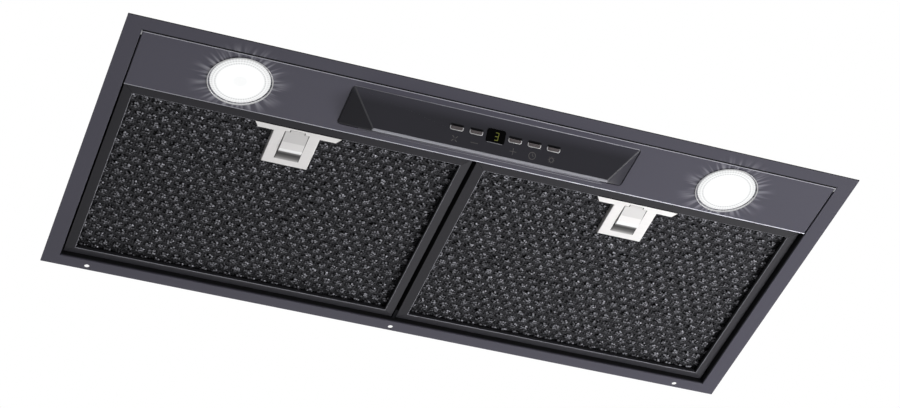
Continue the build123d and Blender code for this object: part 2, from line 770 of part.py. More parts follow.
def tact_switches():
    """A switch behind each button, its plunger clear of the stem until it is pressed."""
    front = -BOARD_SETBACK + SWITCH_HEIGHT
    return group(
        on_slope(x * BUTTON_PITCH, -BOARD_SETBACK, front, Rectangle(SWITCH_SIZE, SWITCH_SIZE))
        + on_slope(x * BUTTON_PITCH, front, front + SWITCH_PLUNGER, Rectangle(STEM_WIDTH, STEM_WIDTH))
        for x in BUTTONS.values()
    )


# ---------------------------------------------------------------- filters (right one)


def filter_block(margin, low, high):
    """A prism over the filter's plan, moved in by margin on all four sides."""
    return block(
        (FILTER_INNER_X + margin, FILTER_OUTER_X - margin),
        (FILTER_FRONT + margin, FILTER_REAR - margin),
        (low, high),
    )


def sloped_border(rise):
    """The border's lower surface as a solid: wide at its outer edge, narrow and low inside."""
    wide = Pos(FILTER_X, FILTER_Y, FILTER_EDGE + rise) * Rectangle(FILTER_WIDTH, FILTER_DEPTH)
    narrow = Pos(FILTER_X, FILTER_Y, FILTER_SETBACK + rise) * Rectangle(
        FILTER_WIDTH - 2 * FILTER_BORDER, FILTER_DEPTH - 2 * FILTER_BORDER
    )
    return loft([narrow, wide])


def filter_frame():
    """Mitred channel frame: sloping border, hem round the mesh, outer wall and top lip."""
    low, high = FILTER_SETBACK - OVERSHOOT, FILTER_TOP + OVERSHOOT
    border = sloped_border(0) - sloped_border(FILTER_SHEET)
    hem_top = MESH_LOW - LAYER_FIT
    hem = filter_block(FILTER_BORDER - FILTER_SHEET, FILTER_SETBACK + FILTER_SHEET / 2, hem_top)
    outer = filter_block(0, FILTER_EDGE, FILTER_TOP) - filter_block(FILTER_SHEET, low, high)
    lip = filter_block(0, FILTER_TOP - FILTER_SHEET, FILTER_TOP)
    lip -= filter_block(FILTER_TOP_LIP, low, high)
    frame = border + hem + outer - filter_block(FILTER_BORDER, low, high) + lip
    seam = FILTER_BORDER - 2 * FILTER_SHEET + OVERSHOOT
    for x, turn_x in ((FILTER_INNER_X, 1), (FILTER_OUTER_X, -1)):
        for y, turn_y in ((FILTER_FRONT, 1), (FILTER_REAR, -1)):
            middle = 2 * FILTER_SHEET + seam / 2
            cut = Box(seam * math.sqrt(2), MITRE_SEAM, FILTER_THICKNESS / 2)
            place = Pos(x + turn_x * middle, y + turn_y * middle, FILTER_SETBACK)
            frame -= place * Rot(0, 0, 45 * turn_x * turn_y) * cut
    frame -= rod_x(
        FILTER_INNER_X - OVERSHOOT, FILTER_OUTER_X + OVERSHOOT, PIVOT_Y, PIVOT_HEIGHT,
        PIVOT_RADIUS + PIVOT_FIT,
    )
    return frame - block(
        around(FILTER_X, TONGUE_WIDTH + 2 * TONGUE_FIT),
        (FILTER_FRONT - OVERSHOOT, FILTER_FRONT + FILTER_SHEET + OVERSHOOT),
        (TONGUE_LOW - TONGUE_FIT, TONGUE_TOP + TONGUE_FIT),
    )


def pivot_pins():
    """Two riveted pins: one into the outer ear, one into the middle ear."""
    inner_wall = FILTER_INNER_X + FILTER_SHEET
    outer_wall = FILTER_OUTER_X - FILTER_SHEET
    ends = [
        (PIN_END_GAP / 2, inner_wall + PIVOT_TAIL),
        (outer_wall - PIVOT_TAIL, APERTURE_X - PIN_END_GAP),
    ]
    return group(rod_x(*end, PIVOT_Y, PIVOT_HEIGHT, PIVOT_RADIUS) for end in ends)


def ridged_sheet(low, row, rise, thickness):
    """A sheet folded into low ridges that run across the filter, one every row."""
    length = FILTER_DEPTH - 2 * (FILTER_BORDER - MESH_GRIP)
    count = int(length / row) * 2
    step = length / count
    start = FILTER_Y - length / 2

    def folds(base):
        return [(start + i * step, base + (2 * rise if i % 2 else 0)) for i in range(count + 1)]

    outline = make_face(Polyline(*folds(low), *reversed(folds(low + thickness)), close=True))
    width = FILTER_WIDTH - 2 * (FILTER_BORDER - MESH_GRIP)
    return Pos(FILTER_X - width / 2, 0, 0) * extrude(Plane.YZ * outline, width)


def front_mesh():
    """Pressed front layer, cut out round the latch."""
    sheet = ridged_sheet(MESH_LOW, MESH_ROW, MESH_RISE, MESH_SHEET)
    return sheet - block(
        around(FILTER_X, LATCH_WIDTH + 2 * OVERSHOOT),
        (FILTER_FRONT, LATCH_REAR + OVERSHOOT),
        (MESH_LOW - OVERSHOOT, MESH_TOP + OVERSHOOT),
    )


def mesh_core():
    return filter_block(FILTER_BORDER - MESH_GRIP, CORE_LOW, CORE_TOP)


def back_mesh():
    thickness = MESH_SHEET
    rise = (BACK_TOP - BACK_LOW - thickness) / 2
    return ridged_sheet(BACK_LOW, BACK_ROW, rise, thickness)


def latch_slot(grow):
    """Plan of the slider's slot: a rectangle with a narrower notch in front."""
    rear = SLIDER_FRONT + SLIDER_BODY
    main = block(
        around(FILTER_X, SLIDER_WIDTH + 2 * grow),
        (SLIDER_FRONT - grow, rear + grow),
        (LATCH_FACE - OVERSHOOT, LATCH_BACK + OVERSHOOT),
    )
    return main + block(
        around(FILTER_X, SLIDER_TAB + 2 * grow),
        (SLIDER_FRONT - SLIDER_TAB_LENGTH - grow, SLIDER_FRONT),
        (LATCH_FACE - OVERSHOOT, LATCH_BACK + OVERSHOOT),
    )


def latch_plate():
    """T-shaped steel plate: a bar along the frame's edge and a shallow tray for the slider."""
    front = LATCH_FRONT
    bar = Polyline(
        (FILTER_X - LATCH_BAR_WIDTH / 2, front),
        (FILTER_X + LATCH_BAR_WIDTH / 2, front),
        (FILTER_X + LATCH_BAR_WIDTH / 2 - LATCH_BAR_TIP, front + LATCH_BAR_DEPTH),
        (FILTER_X - LATCH_BAR_WIDTH / 2 + LATCH_BAR_TIP, front + LATCH_BAR_DEPTH),
        close=True,
    )
    plate = Pos(0, 0, LATCH_FACE) * extrude(make_face(bar), LATCH_SHEET)
    tray = block(around(FILTER_X, LATCH_WIDTH), (front, LATCH_REAR), (LATCH_FACE, CORE_LOW - LAYER_FIT))
    bends = [e for e in edges_at(tray, 2, LATCH_FACE) if e.center().Y > front + OVERSHOOT]
    tray = fillet(bends, LATCH_BEND)
    tray -= block(
        around(FILTER_X, LATCH_WIDTH - 2 * LATCH_SHEET),
        (front - OVERSHOOT, LATCH_REAR - LATCH_SHEET),
        (LATCH_BACK, CORE_TOP),
    )
    moved = Pos(0, SLIDER_TRAVEL, 0) * latch_slot(SLIDER_FIT)
    return plate + tray - latch_slot(SLIDER_FIT) - moved


def latch_slider():
    """Finger slide: a ramp with a rounded crest, a base behind the plate and the tongue."""
    rear = SLIDER_FRONT + SLIDER_LENGTH
    crest = SLIDER_FRONT + SLIDER_CREST
    tail = LATCH_FACE - SLIDER_FIT
    tip = LATCH_FACE - SLIDER_RISE
    crest_end = (crest + SLIDER_CREST_RUN, tip + SLIDER_CREST_DROP)
    crest_top = (crest + 0.65 * SLIDER_CREST_RUN, tip + SLIDER_CREST_BULGE)
    body_end = SLIDER_FRONT + SLIDER_BODY
    outline = make_face(
        [
            Line((SLIDER_FRONT, LATCH_FACE), (crest, tip)),
            ThreePointArc((crest, tip), crest_top, crest_end),
            Polyline(
                crest_end,
                (rear, tail - SLIDER_TAIL_EDGE),
                (rear, tail),
                (body_end, tail),
                (body_end, LATCH_BACK + SLIDER_FIT),
                (SLIDER_FRONT, LATCH_BACK + SLIDER_FIT),
                (SLIDER_FRONT, LATCH_FACE),
            ),
        ]
    )
    ramp = extrude(Plane.YZ * outline, SLIDER_WIDTH / 2, both=True)
    ramp = Pos(FILTER_X, 0, 0) * ramp
    tab = block(
        around(FILTER_X, SLIDER_TAB),
        (SLIDER_FRONT - SLIDER_TAB_LENGTH, SLIDER_FRONT),
        (LATCH_FACE, LATCH_BACK + SLIDER_FIT),
    )
    base_low = LATCH_BACK + SLIDER_FIT
    base = block(
        around(FILTER_X, SLIDER_WIDTH + 2 * SLIDER_WING),
        (SLIDER_FRONT - SLIDER_TAB_LENGTH, SLIDER_FRONT + SLIDER_BODY),
        (base_low, base_low + SLIDER_BASE),
    )
    step = block(
        around(FILTER_X, TONGUE_WIDTH),
        (SLIDER_FRONT, SLIDER_FRONT + SLIDER_BODY),
        (base_low, TONGUE_TOP),
    )
    tongue = block(
        around(FILTER_X, TONGUE_WIDTH),
        (PANEL_REAR - TRIM_SHEET - TONGUE_BITE, SLIDER_FRONT),
        (TONGUE_LOW, TONGUE_TOP),
    )
    return ramp + tab + base + step + tongue


def latch_spring():
    """Return spring's outer form between the slider and the tray's rear wall."""
    front = SLIDER_FRONT + SLIDER_BODY
    rear = LATCH_REAR - LATCH_SHEET
    z = LATCH_BACK + SPRING_RADIUS + SLIDER_FIT
    return Pos(FILTER_X, (front + rear) / 2, z) * Rot(90, 0, 0) * Cylinder(
        SPRING_RADIUS, rear - front
    )


def hanger_rail():
    """Rail on the rear wall with three ears that carry the filters' pins."""
    top = FILTER_TOP + PIVOT_FROM_REAR / 2 + RAIL_HEIGHT
    rail = block(
        (-APERTURE_X, APERTURE_X), (APERTURE_REAR - EAR_SHEET, CASING_REAR),
        (top - RAIL_HEIGHT, top),
    )
    ears = [
        (-MIDDLE_EAR / 2, MIDDLE_EAR / 2),
        (APERTURE_X - EAR_SHEET, APERTURE_X),
        (-APERTURE_X, -APERTURE_X + EAR_SHEET),
    ]
    for ear in ears:
        rail += block(ear, (PIVOT_Y - EAR_BACK, APERTURE_REAR), (PIVOT_HEIGHT - EAR_BELOW, top))
    return rail - rod_x(
        -CASING_X, CASING_X, PIVOT_Y, PIVOT_HEIGHT, PIVOT_RADIUS + PIVOT_FIT
    )


# ---------------------------------------------------------------- blower


def scroll_outline():
    """Inside of the scroll, in Y and Z: three quarter arcs that grow, and a straight throat."""
    g = SCROLL_GROWTH
    y, z = WHEEL_Y, WHEEL_HEIGHT
    r1, r2, r3 = SCROLL_START, SCROLL_START + 2 * g, SCROLL_START + 4 * g
    top = CEILING
    throat = y + SCROLL_THROAT
    start = (y - g, z - g + r1)
    front = (y - g - r1, z - g)
    bottom = (y + g, z - g - r2)
    rear = (y + g + r3, z + g)
    outline = [
        Line((throat, top), (throat, start[1])),
        Line((throat, start[1]), start),
        CenterArc((y - g, z - g), r1, 90, 90),
        CenterArc((y + g, z - g), r2, 180, 90),
        CenterArc((y + g, z + g), r3, 270, 90),
        Line(rear, (rear[0], top)),
        Line((rear[0], top), (throat, top)),
    ]
    face = make_face(outline)
    nose = [v for v in face.vertices() if abs(v.X - throat) < 1e-3 and abs(v.Y - start[1]) < 1e-3]
    return fillet(nose, SCROLL_NOSE)


def below_ceiling(grow):
    """The scroll's outline grown outwards and cut level with the casing's top sheet."""
    face = offset(scroll_outline(), grow, kind=Kind.INTERSECTION)
    size = 4 * CASING_HEIGHT
    return face & Pos(0, CEILING - size / 2) * Rectangle(size, size)


def blower_scroll():
    band = below_ceiling(SCROLL_SHEET) - scroll_outline()
    return extrude(Plane.YZ * band, SCROLL_X, both=True)


def blower_cheek():
    """Right side plate of the scroll, with an inlet ring that reaches in towards the wheel."""
    plate = below_ceiling(SCROLL_SHEET + CHEEK_MARGIN)
    cheek = Pos(SCROLL_X, 0, 0) * extrude(Plane.YZ * plate, SCROLL_SHEET)
    neck_end = WHEEL_HALF + WHEEL_SHEET + INLET_WHEEL_GAP
    mouth = rod_x(neck_end, CHEEK_X + INLET_LIP, WHEEL_Y, WHEEL_HEIGHT, INLET_RADIUS + SCROLL_SHEET)
    return cheek + mouth - rod_x(0, 2 * CHEEK_X, WHEEL_Y, WHEEL_HEIGHT, INLET_RADIUS)


def polar(radius, degrees):
    turn = math.radians(degrees)
    return (radius * math.cos(turn), radius * math.sin(turn))


def impeller():
    """Wheel: middle disc, hub, two end rings and two rows of forward-curved blades."""
    inner = WHEEL_INNER + BLADE_INSET
    outer = WHEEL_RADIUS - BLADE_INSET
    middle = (inner + outer) / 2
    half = math.degrees(BLADE_SHEET / 2 / middle)
    bow = BLADE_LEAD / 2 - math.degrees(BLADE_BOW / middle)
    root, knee, tip = (inner, 0), (middle, bow), (outer, BLADE_LEAD)
    sides = [[polar(r, lead + way) for r, lead in (root, knee, tip)] for way in (-half, half)]
    outline = make_face(Polyline(*sides[0], *reversed(sides[1]), close=True))
    blade = extrude(outline, WHEEL_HALF, both=True)
    blades = [Rot(0, 0, 360 / BLADE_COUNT * i) * blade for i in range(BLADE_COUNT)]
    disc = Cylinder(WHEEL_RADIUS, WHEEL_SHEET)
    hub = Cylinder(WHEEL_HUB, 2 * WHEEL_HUB)
    ring = Cylinder(WHEEL_RADIUS, WHEEL_SHEET) - Cylinder(WHEEL_INNER, 2 * WHEEL_SHEET)
    ends = [Pos(0, 0, way * (WHEEL_HALF + WHEEL_SHEET / 2)) * ring for way in (-1, 1)]
    wheel = Part() + [disc, hub, *ends, *blades]
    wheel -= Cylinder(SHAFT_RADIUS, 4 * WHEEL_HUB)
    return Pos(0, WHEEL_Y, WHEEL_HEIGHT) * Rot(0, 90, 0) * wheel


def wheel_shaft():
    return rod_x(
        -WHEEL_HUB - SHAFT_STUB, MOTOR_START + MOTOR_BORE - SHAFT_STUB / 2,
        WHEEL_Y, WHEEL_HEIGHT, SHAFT_RADIUS,
    )


def motor():
    """Motor inside the wheel's right half, with a bore that the shaft turns in."""
    y, z = WHEEL_Y, WHEEL_HEIGHT
    can = rod_x(MOTOR_START, MOTOR_START + MOTOR_LENGTH, y, z, MOTOR_RADIUS)
    return can - rod_x(
        0, MOTOR_START + MOTOR_BORE, y, z, SHAFT_RADIUS + SHAFT_FIT
    )


def motor_bracket():
    """Three-armed bracket from the motor's rear face to the right cheek."""
    back = MOTOR_START + MOTOR_LENGTH
    y, z = WHEEL_Y, WHEEL_HEIGHT
    hub = extrude(RegularPolygon(BRACKET_HUB, 6), BRACKET_SHEET)
    bracket = Pos(back, y, z) * Rot(0, 90, 0) * hub
    for turn in (0, 120, 240):
        reach = INLET_RADIUS + BRACKET_CLEAR
        arm = block((back, back + BRACKET_SHEET), around(0, BRACKET_ARM), (0, BRACKET_REACH))
        leg = block(
            (CHEEK_X, back + BRACKET_SHEET), around(0, BRACKET_ARM), (reach, reach + BRACKET_SHEET)
        )
        foot = block(
            (CHEEK_X, CHEEK_X + BRACKET_SHEET), around(0, BRACKET_ARM), (reach, BRACKET_REACH)
        )
        bracket += Pos(0, y, z) * Rot(turn + 180, 0, 0) * (arm + leg + foot)
    return bracket


# ---------------------------------------------------------------- outlet


def outlet_collar():
    """Round duct collar on a square base, whose inner edge is the ledge the flaps close on."""
    base = block(
        around(0, COLLAR_BASE), around(OUTLET_Y, COLLAR_BASE),
        (CASING_HEIGHT, CASING_HEIGHT + COLLAR_WALL),
    )
    base = chamfer(base.edges().filter_by(Axis.Z), COLLAR_CORNER)
    tube = rod_z(0, OUTLET_Y, CASING_HEIGHT, CASING_HEIGHT + COLLAR_HEIGHT, COLLAR_RADIUS)
    bore = rod_z(
        0, OUTLET_Y, CASING_HEIGHT, CASING_HEIGHT + COLLAR_HEIGHT + OVERSHOOT, COLLAR_INNER
    )
    mouth = rod_z(
        0, OUTLET_Y, CASING_HEIGHT - OVERSHOOT, SPINDLE_Z, COLLAR_INNER - COLLAR_LEDGE
    )
    collar = base - mouth + (tube - bore)
    reach = COLLAR_RADIUS + OVERSHOOT
    return collar - rod_x(-reach, reach, OUTLET_Y, SPINDLE_Z, SPINDLE_RADIUS + INSERT_FIT)


def collar_screw_places():
    reach = COLLAR_BASE / 2 - COLLAR_SCREW_EDGE
    return [(sx * reach, OUTLET_Y + sy * reach) for sx in (-1, 1) for sy in (-1, 1)]


def damper_spindle():
    reach = COLLAR_RADIUS - PIN_END_GAP
    return rod_x(-reach, reach, OUTLET_Y, SPINDLE_Z, SPINDLE_RADIUS)


def damper_flap(way):
    """Half-moon flap, rear for way 1 and front for way -1, with its share of the knuckles."""
    low = CASING_HEIGHT + COLLAR_WALL + FLAP_REST_GAP
    disc = rod_z(0, 0, low, low + FLAP_SHEET, COLLAR_INNER - FLAP_EDGE_GAP)
    half = block((-COLLAR_RADIUS, COLLAR_RADIUS), (FLAP_SPLIT, COLLAR_RADIUS), (low, low + FLAP_SHEET))
    flap = disc & half
    own, other = ((-1, 1), (0,)) if way > 0 else ((0,), (-1, 1))
    for place in other:
        clear = around(place * KNUCKLE_PITCH, KNUCKLE_LENGTH + 2 * KNUCKLE_GAP)
        flap -= rod_x(*clear, 0, SPINDLE_Z, KNUCKLE_RADIUS + KNUCKLE_GAP)
    for place in own:
        reach = around(place * KNUCKLE_PITCH, KNUCKLE_LENGTH)
        flap += rod_x(*reach, 0, SPINDLE_Z, KNUCKLE_RADIUS)
    flap -= rod_x(-COLLAR_RADIUS, COLLAR_RADIUS, 0, SPINDLE_Z, SPINDLE_RADIUS + INSERT_FIT)
    if way < 0:
        flap = mirror(flap, about=Plane.XZ)
    return Pos(0, OUTLET_Y, 0) * flap


# ---------------------------------------------------------------- electrical parts


def terminal_box():
    low, high = PAN_HEIGHT, PAN_HEIGHT + TERMINAL_HEIGHT
    outer = block(around(TERMINAL_X, TERMINAL_WIDTH), around(TERMINAL_Y, TERMINAL_DEPTH), (low, high))
    outer = chamfer(outer.edges().filter_by(Axis.Z), TERMINAL_CORNER)
    inner = block(
        around(TERMINAL_X, TERMINAL_WIDTH - 2 * TERMINAL_WALL),
        around(TERMINAL_Y, TERMINAL_DEPTH - 2 * TERMINAL_WALL),
        (low + TERMINAL_WALL, high + OVERSHOOT),
    )
    side = TERMINAL_X + TERMINAL_WIDTH / 2
    hole = rod_x(
        side - TERMINAL_WALL - OVERSHOOT, side + OVERSHOOT, TERMINAL_Y, gland_height(),
        GLAND_NECK + INSERT_FIT,
    )
    return outer - inner - hole


def gland_height():
    return PAN_HEIGHT + TERMINAL_HEIGHT / 2


def terminal_lid():
    high = PAN_HEIGHT + TERMINAL_HEIGHT
    lid = block(
        around(TERMINAL_X, TERMINAL_WIDTH), around(TERMINAL_Y, TERMINAL_DEPTH),
        (high, high + TERMINAL_WALL),
    )
    lid = chamfer(lid.edges().filter_by(Axis.Z), TERMINAL_CORNER)
    return chamfer(edges_at(lid, 2, high + TERMINAL_WALL), TERMINAL_WALL / 2)


def cable_gland():
    """Gland through the box's side: neck, hexagonal nuts on both sides and a tapered cap."""
    side = TERMINAL_X + TERMINAL_WIDTH / 2
    z = gland_height()
    neck = rod_x(side - TERMINAL_WALL, side, TERMINAL_Y, z, GLAND_NECK)
    nut = Pos(side, TERMINAL_Y, z) * Rot(0, 90, 0) * extrude(RegularPolygon(GLAND_NUT, 6), GLAND_HEX)
    inner = nut.moved(Location((-GLAND_NUT_INSIDE - TERMINAL_WALL, 0, 0)))
    inner &= rod_x(0, side - TERMINAL_WALL, TERMINAL_Y, z, 2 * GLAND_NUT)
    cap = rod_x(side + GLAND_HEX, side + GLAND_OUT, TERMINAL_Y, z, GLAND_NECK)
    gland = neck + nut + inner + cap
    return gland - rod_x(0, side + GLAND_OUT + OVERSHOOT, TERMINAL_Y, z, GLAND_BORE)


def motor_capacitor():
    x = -CHEEK_X - 2 * CAPACITOR_RADIUS
    return rod_z(x, WHEEL_Y, CEILING - CAPACITOR_LENGTH, CEILING, CAPACITOR_RADIUS)


def lamp_driver():
    """Supply for the lamps, on the pan's rear wall above the filters."""
    top = PAN_CEILING - DRIVER_DROP
    front = CASING_REAR - DRIVER_DEPTH
    box = block(
        around(CASING_X - DRIVER_FROM_END, DRIVER_WIDTH),
        (front, CASING_REAR),
        (top - DRIVER_HEIGHT, top),
    )
    return chamfer(edges_at(box, 1, front), DRIVER_CHAMFER)


# ---------------------------------------------------------------- screws


def screw_head(radius, height):
    """Hexagonal head sitting on the plane Z = 0; its thread is in the sheet below."""
    return extrude(RegularPolygon(radius, 6), height)


def casing_screws():
    """Screws of the pan into the trim frame, of the housing's feet and of the collar."""
    screw = screw_head(SCREW_HEAD_RADIUS, SCREW_HEAD_HEIGHT)
    top = CASING_HEIGHT + COLLAR_WALL
    screws = [Pos(x, y, top) * screw for x, y in collar_screw_places()]
    for x in (-CASING_X * 0.8, 0, CASING_X * 0.8):
        height = TRIM_HEIGHT / 2
        front = Pos(x, CASING_FRONT - CASING_SHEET, height) * Rot(90, 0, 0)
        rear = Pos(x, CASING_REAR + CASING_SHEET, height) * Rot(-90, 0, 0)
        screws += [front * screw, rear * screw]
    foot_x = HOUSING_X + CASING_SHEET + HOUSING_FOOT / 2
    foot_y = (FILTER_FRONT + CASING_REAR) / 2
    for x in (-foot_x, foot_x):
        for y in around(foot_y, HOUSING_SCREWS):
            screws.append(Pos(x, y, PAN_HEIGHT + CASING_SHEET) * screw)
    return group(screws)


# ---------------------------------------------------------------- all nodes


def hood():
    """Every node of the hood by its name."""
    nodes = {
        "trim_frame": trim_frame(),
        "casing_wrapper": casing_wrapper(),
        "casing_end_right": casing_end(),
        "casing_end_left": mirrored(casing_end()),
        "blower_housing": blower_housing(),
        "housing_sides": housing_sides(),
        "side_clips": side_clips(),
        "casing_screws": casing_screws(),
        "lamp_panel": lamp_panel(),
        "lamp_rings": at_both_lamps(lamp_ring),
        "lamp_lenses": at_both_lamps(lamp_lens),
        "lamp_bodies": at_both_lamps(lamp_body),
        "panel_saddles": panel_saddles(),
        "lamp_clips": lamp_clips(),
        "console_shell": console_shell(),
        "button_bezels": button_bezels(),
        "display_window": display_window(),
        "display_module": display_module(),
        "control_board": control_board(),
        "board_screws": board_screws(),
        "tact_switches": tact_switches(),
        "filter_hanger_rail": hanger_rail(),
        "blower_scroll": blower_scroll(),
        "blower_cheek_right": blower_cheek(),
        "blower_cheek_left": mirrored(blower_cheek()),
        "impeller": impeller(),
        "impeller_shaft": wheel_shaft(),
        "motor": motor(),
        "motor_bracket": motor_bracket(),
        "motor_capacitor": motor_capacitor(),
        "lamp_driver": lamp_driver(),
        "outlet_collar": outlet_collar(),
        "damper_spindle": damper_spindle(),
        "damper_flap_rear": damper_flap(1),
        "damper_flap_front": damper_flap(-1),
        "terminal_box": terminal_box(),
        "terminal_lid": terminal_lid(),
        "cable_gland": cable_gland(),
    }
    for name, place in BUTTONS.items():
        nodes[f"button_{name}"] = button_cap(place * BUTTON_PITCH)
    filter_pieces = {
        "filter_frame": filter_frame(),
        "front_mesh": front_mesh(),
        "mesh_core": mesh_core(),
        "back_mesh": back_mesh(),
        "pivot_pins": pivot_pins(),
        "latch_plate": latch_plate(),
        "latch_slider": latch_slider(),
        "latch_spring": latch_spring(),
    }
    for name, piece in filter_pieces.items():
        nodes[f"right_{name}"] = piece
        nodes[f"left_{name}"] = mirrored(piece)
    return nodes


os.makedirs("parts", exist_ok=True)
for node_name, solid in hood().items():
    export_step(solid, f"parts/{node_name}.step")
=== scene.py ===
"""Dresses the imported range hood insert.

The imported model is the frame. Every node gets a finish, and the pieces that carry the
look from below, which are the pressed mesh, the lamps, the console's controls and the
softened sheet edges, are made here and ride on the same bodies as the nodes they stand
for. Sizes inside the functions are millimetres in the part's own frame: X to the right,
Y to the rear and Z up into the cabinet.
"""

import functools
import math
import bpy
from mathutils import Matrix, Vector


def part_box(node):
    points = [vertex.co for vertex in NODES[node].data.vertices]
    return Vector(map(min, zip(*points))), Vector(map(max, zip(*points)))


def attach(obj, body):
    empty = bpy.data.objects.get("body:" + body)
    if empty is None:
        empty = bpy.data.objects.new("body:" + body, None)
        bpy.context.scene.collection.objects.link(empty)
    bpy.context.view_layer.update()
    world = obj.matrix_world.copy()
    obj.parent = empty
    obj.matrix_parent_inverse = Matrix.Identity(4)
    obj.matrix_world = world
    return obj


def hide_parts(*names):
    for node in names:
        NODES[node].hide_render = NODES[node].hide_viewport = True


bl_info = {
    "name": "Range Hood Insert",
    "version": (1, 0, 0),
    "blender": (4, 5, 0),
    "location": "3D View > Sidebar > Range Hood",
    "description": "Finishes and fine pieces for a range hood insert",
    "category": "Object",
}

import bmesh
import bpy
import numpy as np
from mathutils import Matrix, Vector

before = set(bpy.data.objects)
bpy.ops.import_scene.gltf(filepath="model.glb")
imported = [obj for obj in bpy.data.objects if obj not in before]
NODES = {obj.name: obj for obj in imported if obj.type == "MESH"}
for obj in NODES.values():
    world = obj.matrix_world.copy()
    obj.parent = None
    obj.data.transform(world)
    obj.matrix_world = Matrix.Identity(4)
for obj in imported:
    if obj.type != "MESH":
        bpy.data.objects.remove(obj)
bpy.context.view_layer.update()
MM = 0.001
SIDES = ("left", "right")
SHARP_ANGLE = math.radians(28)
FLAT_ANGLE = math.radians(0.8)
TURN_POINTS = 128
RING_POINTS = 32
CORNER_POINTS = 10


# ---------------------------------------------------------------- places


def span(node):
    """Lowest and highest corner of a node, in millimetres."""
    low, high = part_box(node)
    return np.array(low) / MM, np.array(high) / MM


FLANGE_LOW, FLANGE_HIGH = span("trim_frame")
PANEL_LOW, PANEL_HIGH = span("lamp_panel")
LENS_LOW, LENS_HIGH = span("lamp_lenses")
RING_LOW, RING_HIGH = span("lamp_rings")
RING_RADIUS = (RING_HIGH[1] - RING_LOW[1]) / 2
LAMP_X = RING_HIGH[0] - RING_RADIUS
LAMP_Y = (RING_HIGH[1] + RING_LOW[1]) / 2
BEADS = 64
CONSOLE_LOW = span("console_shell")[0]
PANEL_FACE = -1.0
SLOPE_START = -145.0
SLOPE_OUT = np.array([0.0, -1.0, -1.0]) / math.sqrt(2)
SLOPE_DOWN = np.array([0.0, 1.0, -1.0]) / math.sqrt(2)
BUTTON_ROW = 16.4
BUTTON_PITCH = 18.7
BUTTONS = {"fan": -2, "minus": -1, "plus": 1, "timer": 2, "light": 3}
FRAME_BORDER = 9.5
LATCH_FACE = 3.0
LATCH_X = sum(corner[0] for corner in span("right_latch_plate")) / 2
SLIDER_FRONT, SLIDER_TAIL, SLIDER_REAR = -69.1, -42.2, -34.1
SLIDER_LONGER = 3.4
SLIDER_FLATTER = 0.35
SLOT_SETBACK = 2.4
TAB_REACH = 2.6


def on_slope(across, down, out):
    """Points on the console's front slope: across in X, down the slope, out of its face."""
    across, down, out = np.broadcast_arrays(across, down, out)
    start = np.array([0.0, SLOPE_START, PANEL_FACE])
    along = down[..., None] * SLOPE_DOWN + out[..., None] * SLOPE_OUT + start
    along[..., 0] += across
    return along


# ---------------------------------------------------------------- finishes


class Field:
    """A socket of a finish, so that shader maths reads as a plain expression."""

    def __init__(self, finish, socket):
        self.finish, self.socket = finish, socket

    def _sum(self, operation, *values):
        if self.socket.type == "VECTOR":
            values = [(v, v, v) if isinstance(v, (int, float)) else v for v in values]
            kind = "ShaderNodeVectorMath"
        else:
            kind = "ShaderNodeMath"
        return self.finish.node(kind, {"operation": operation}, dict(enumerate(values)))

    def __add__(self, other):
        return self._sum("ADD", self, other)

    __radd__ = __add__

    def __sub__(self, other):
        return self._sum("SUBTRACT", self, other)

    def __rsub__(self, other):
        return self._sum("SUBTRACT", other, self)

    def __mul__(self, other):
        return self._sum("MULTIPLY", self, other)

    __rmul__ = __mul__

    def __truediv__(self, other):
        return self._sum("DIVIDE", self, other)

    def __pow__(self, other):
        return self._sum("POWER", self, other)

    def __abs__(self):
        return self._sum("ABSOLUTE", self)

    def __gt__(self, other):
        return self._sum("GREATER_THAN", self, other)

    def __lt__(self, other):
        return self._sum("LESS_THAN", self, other)


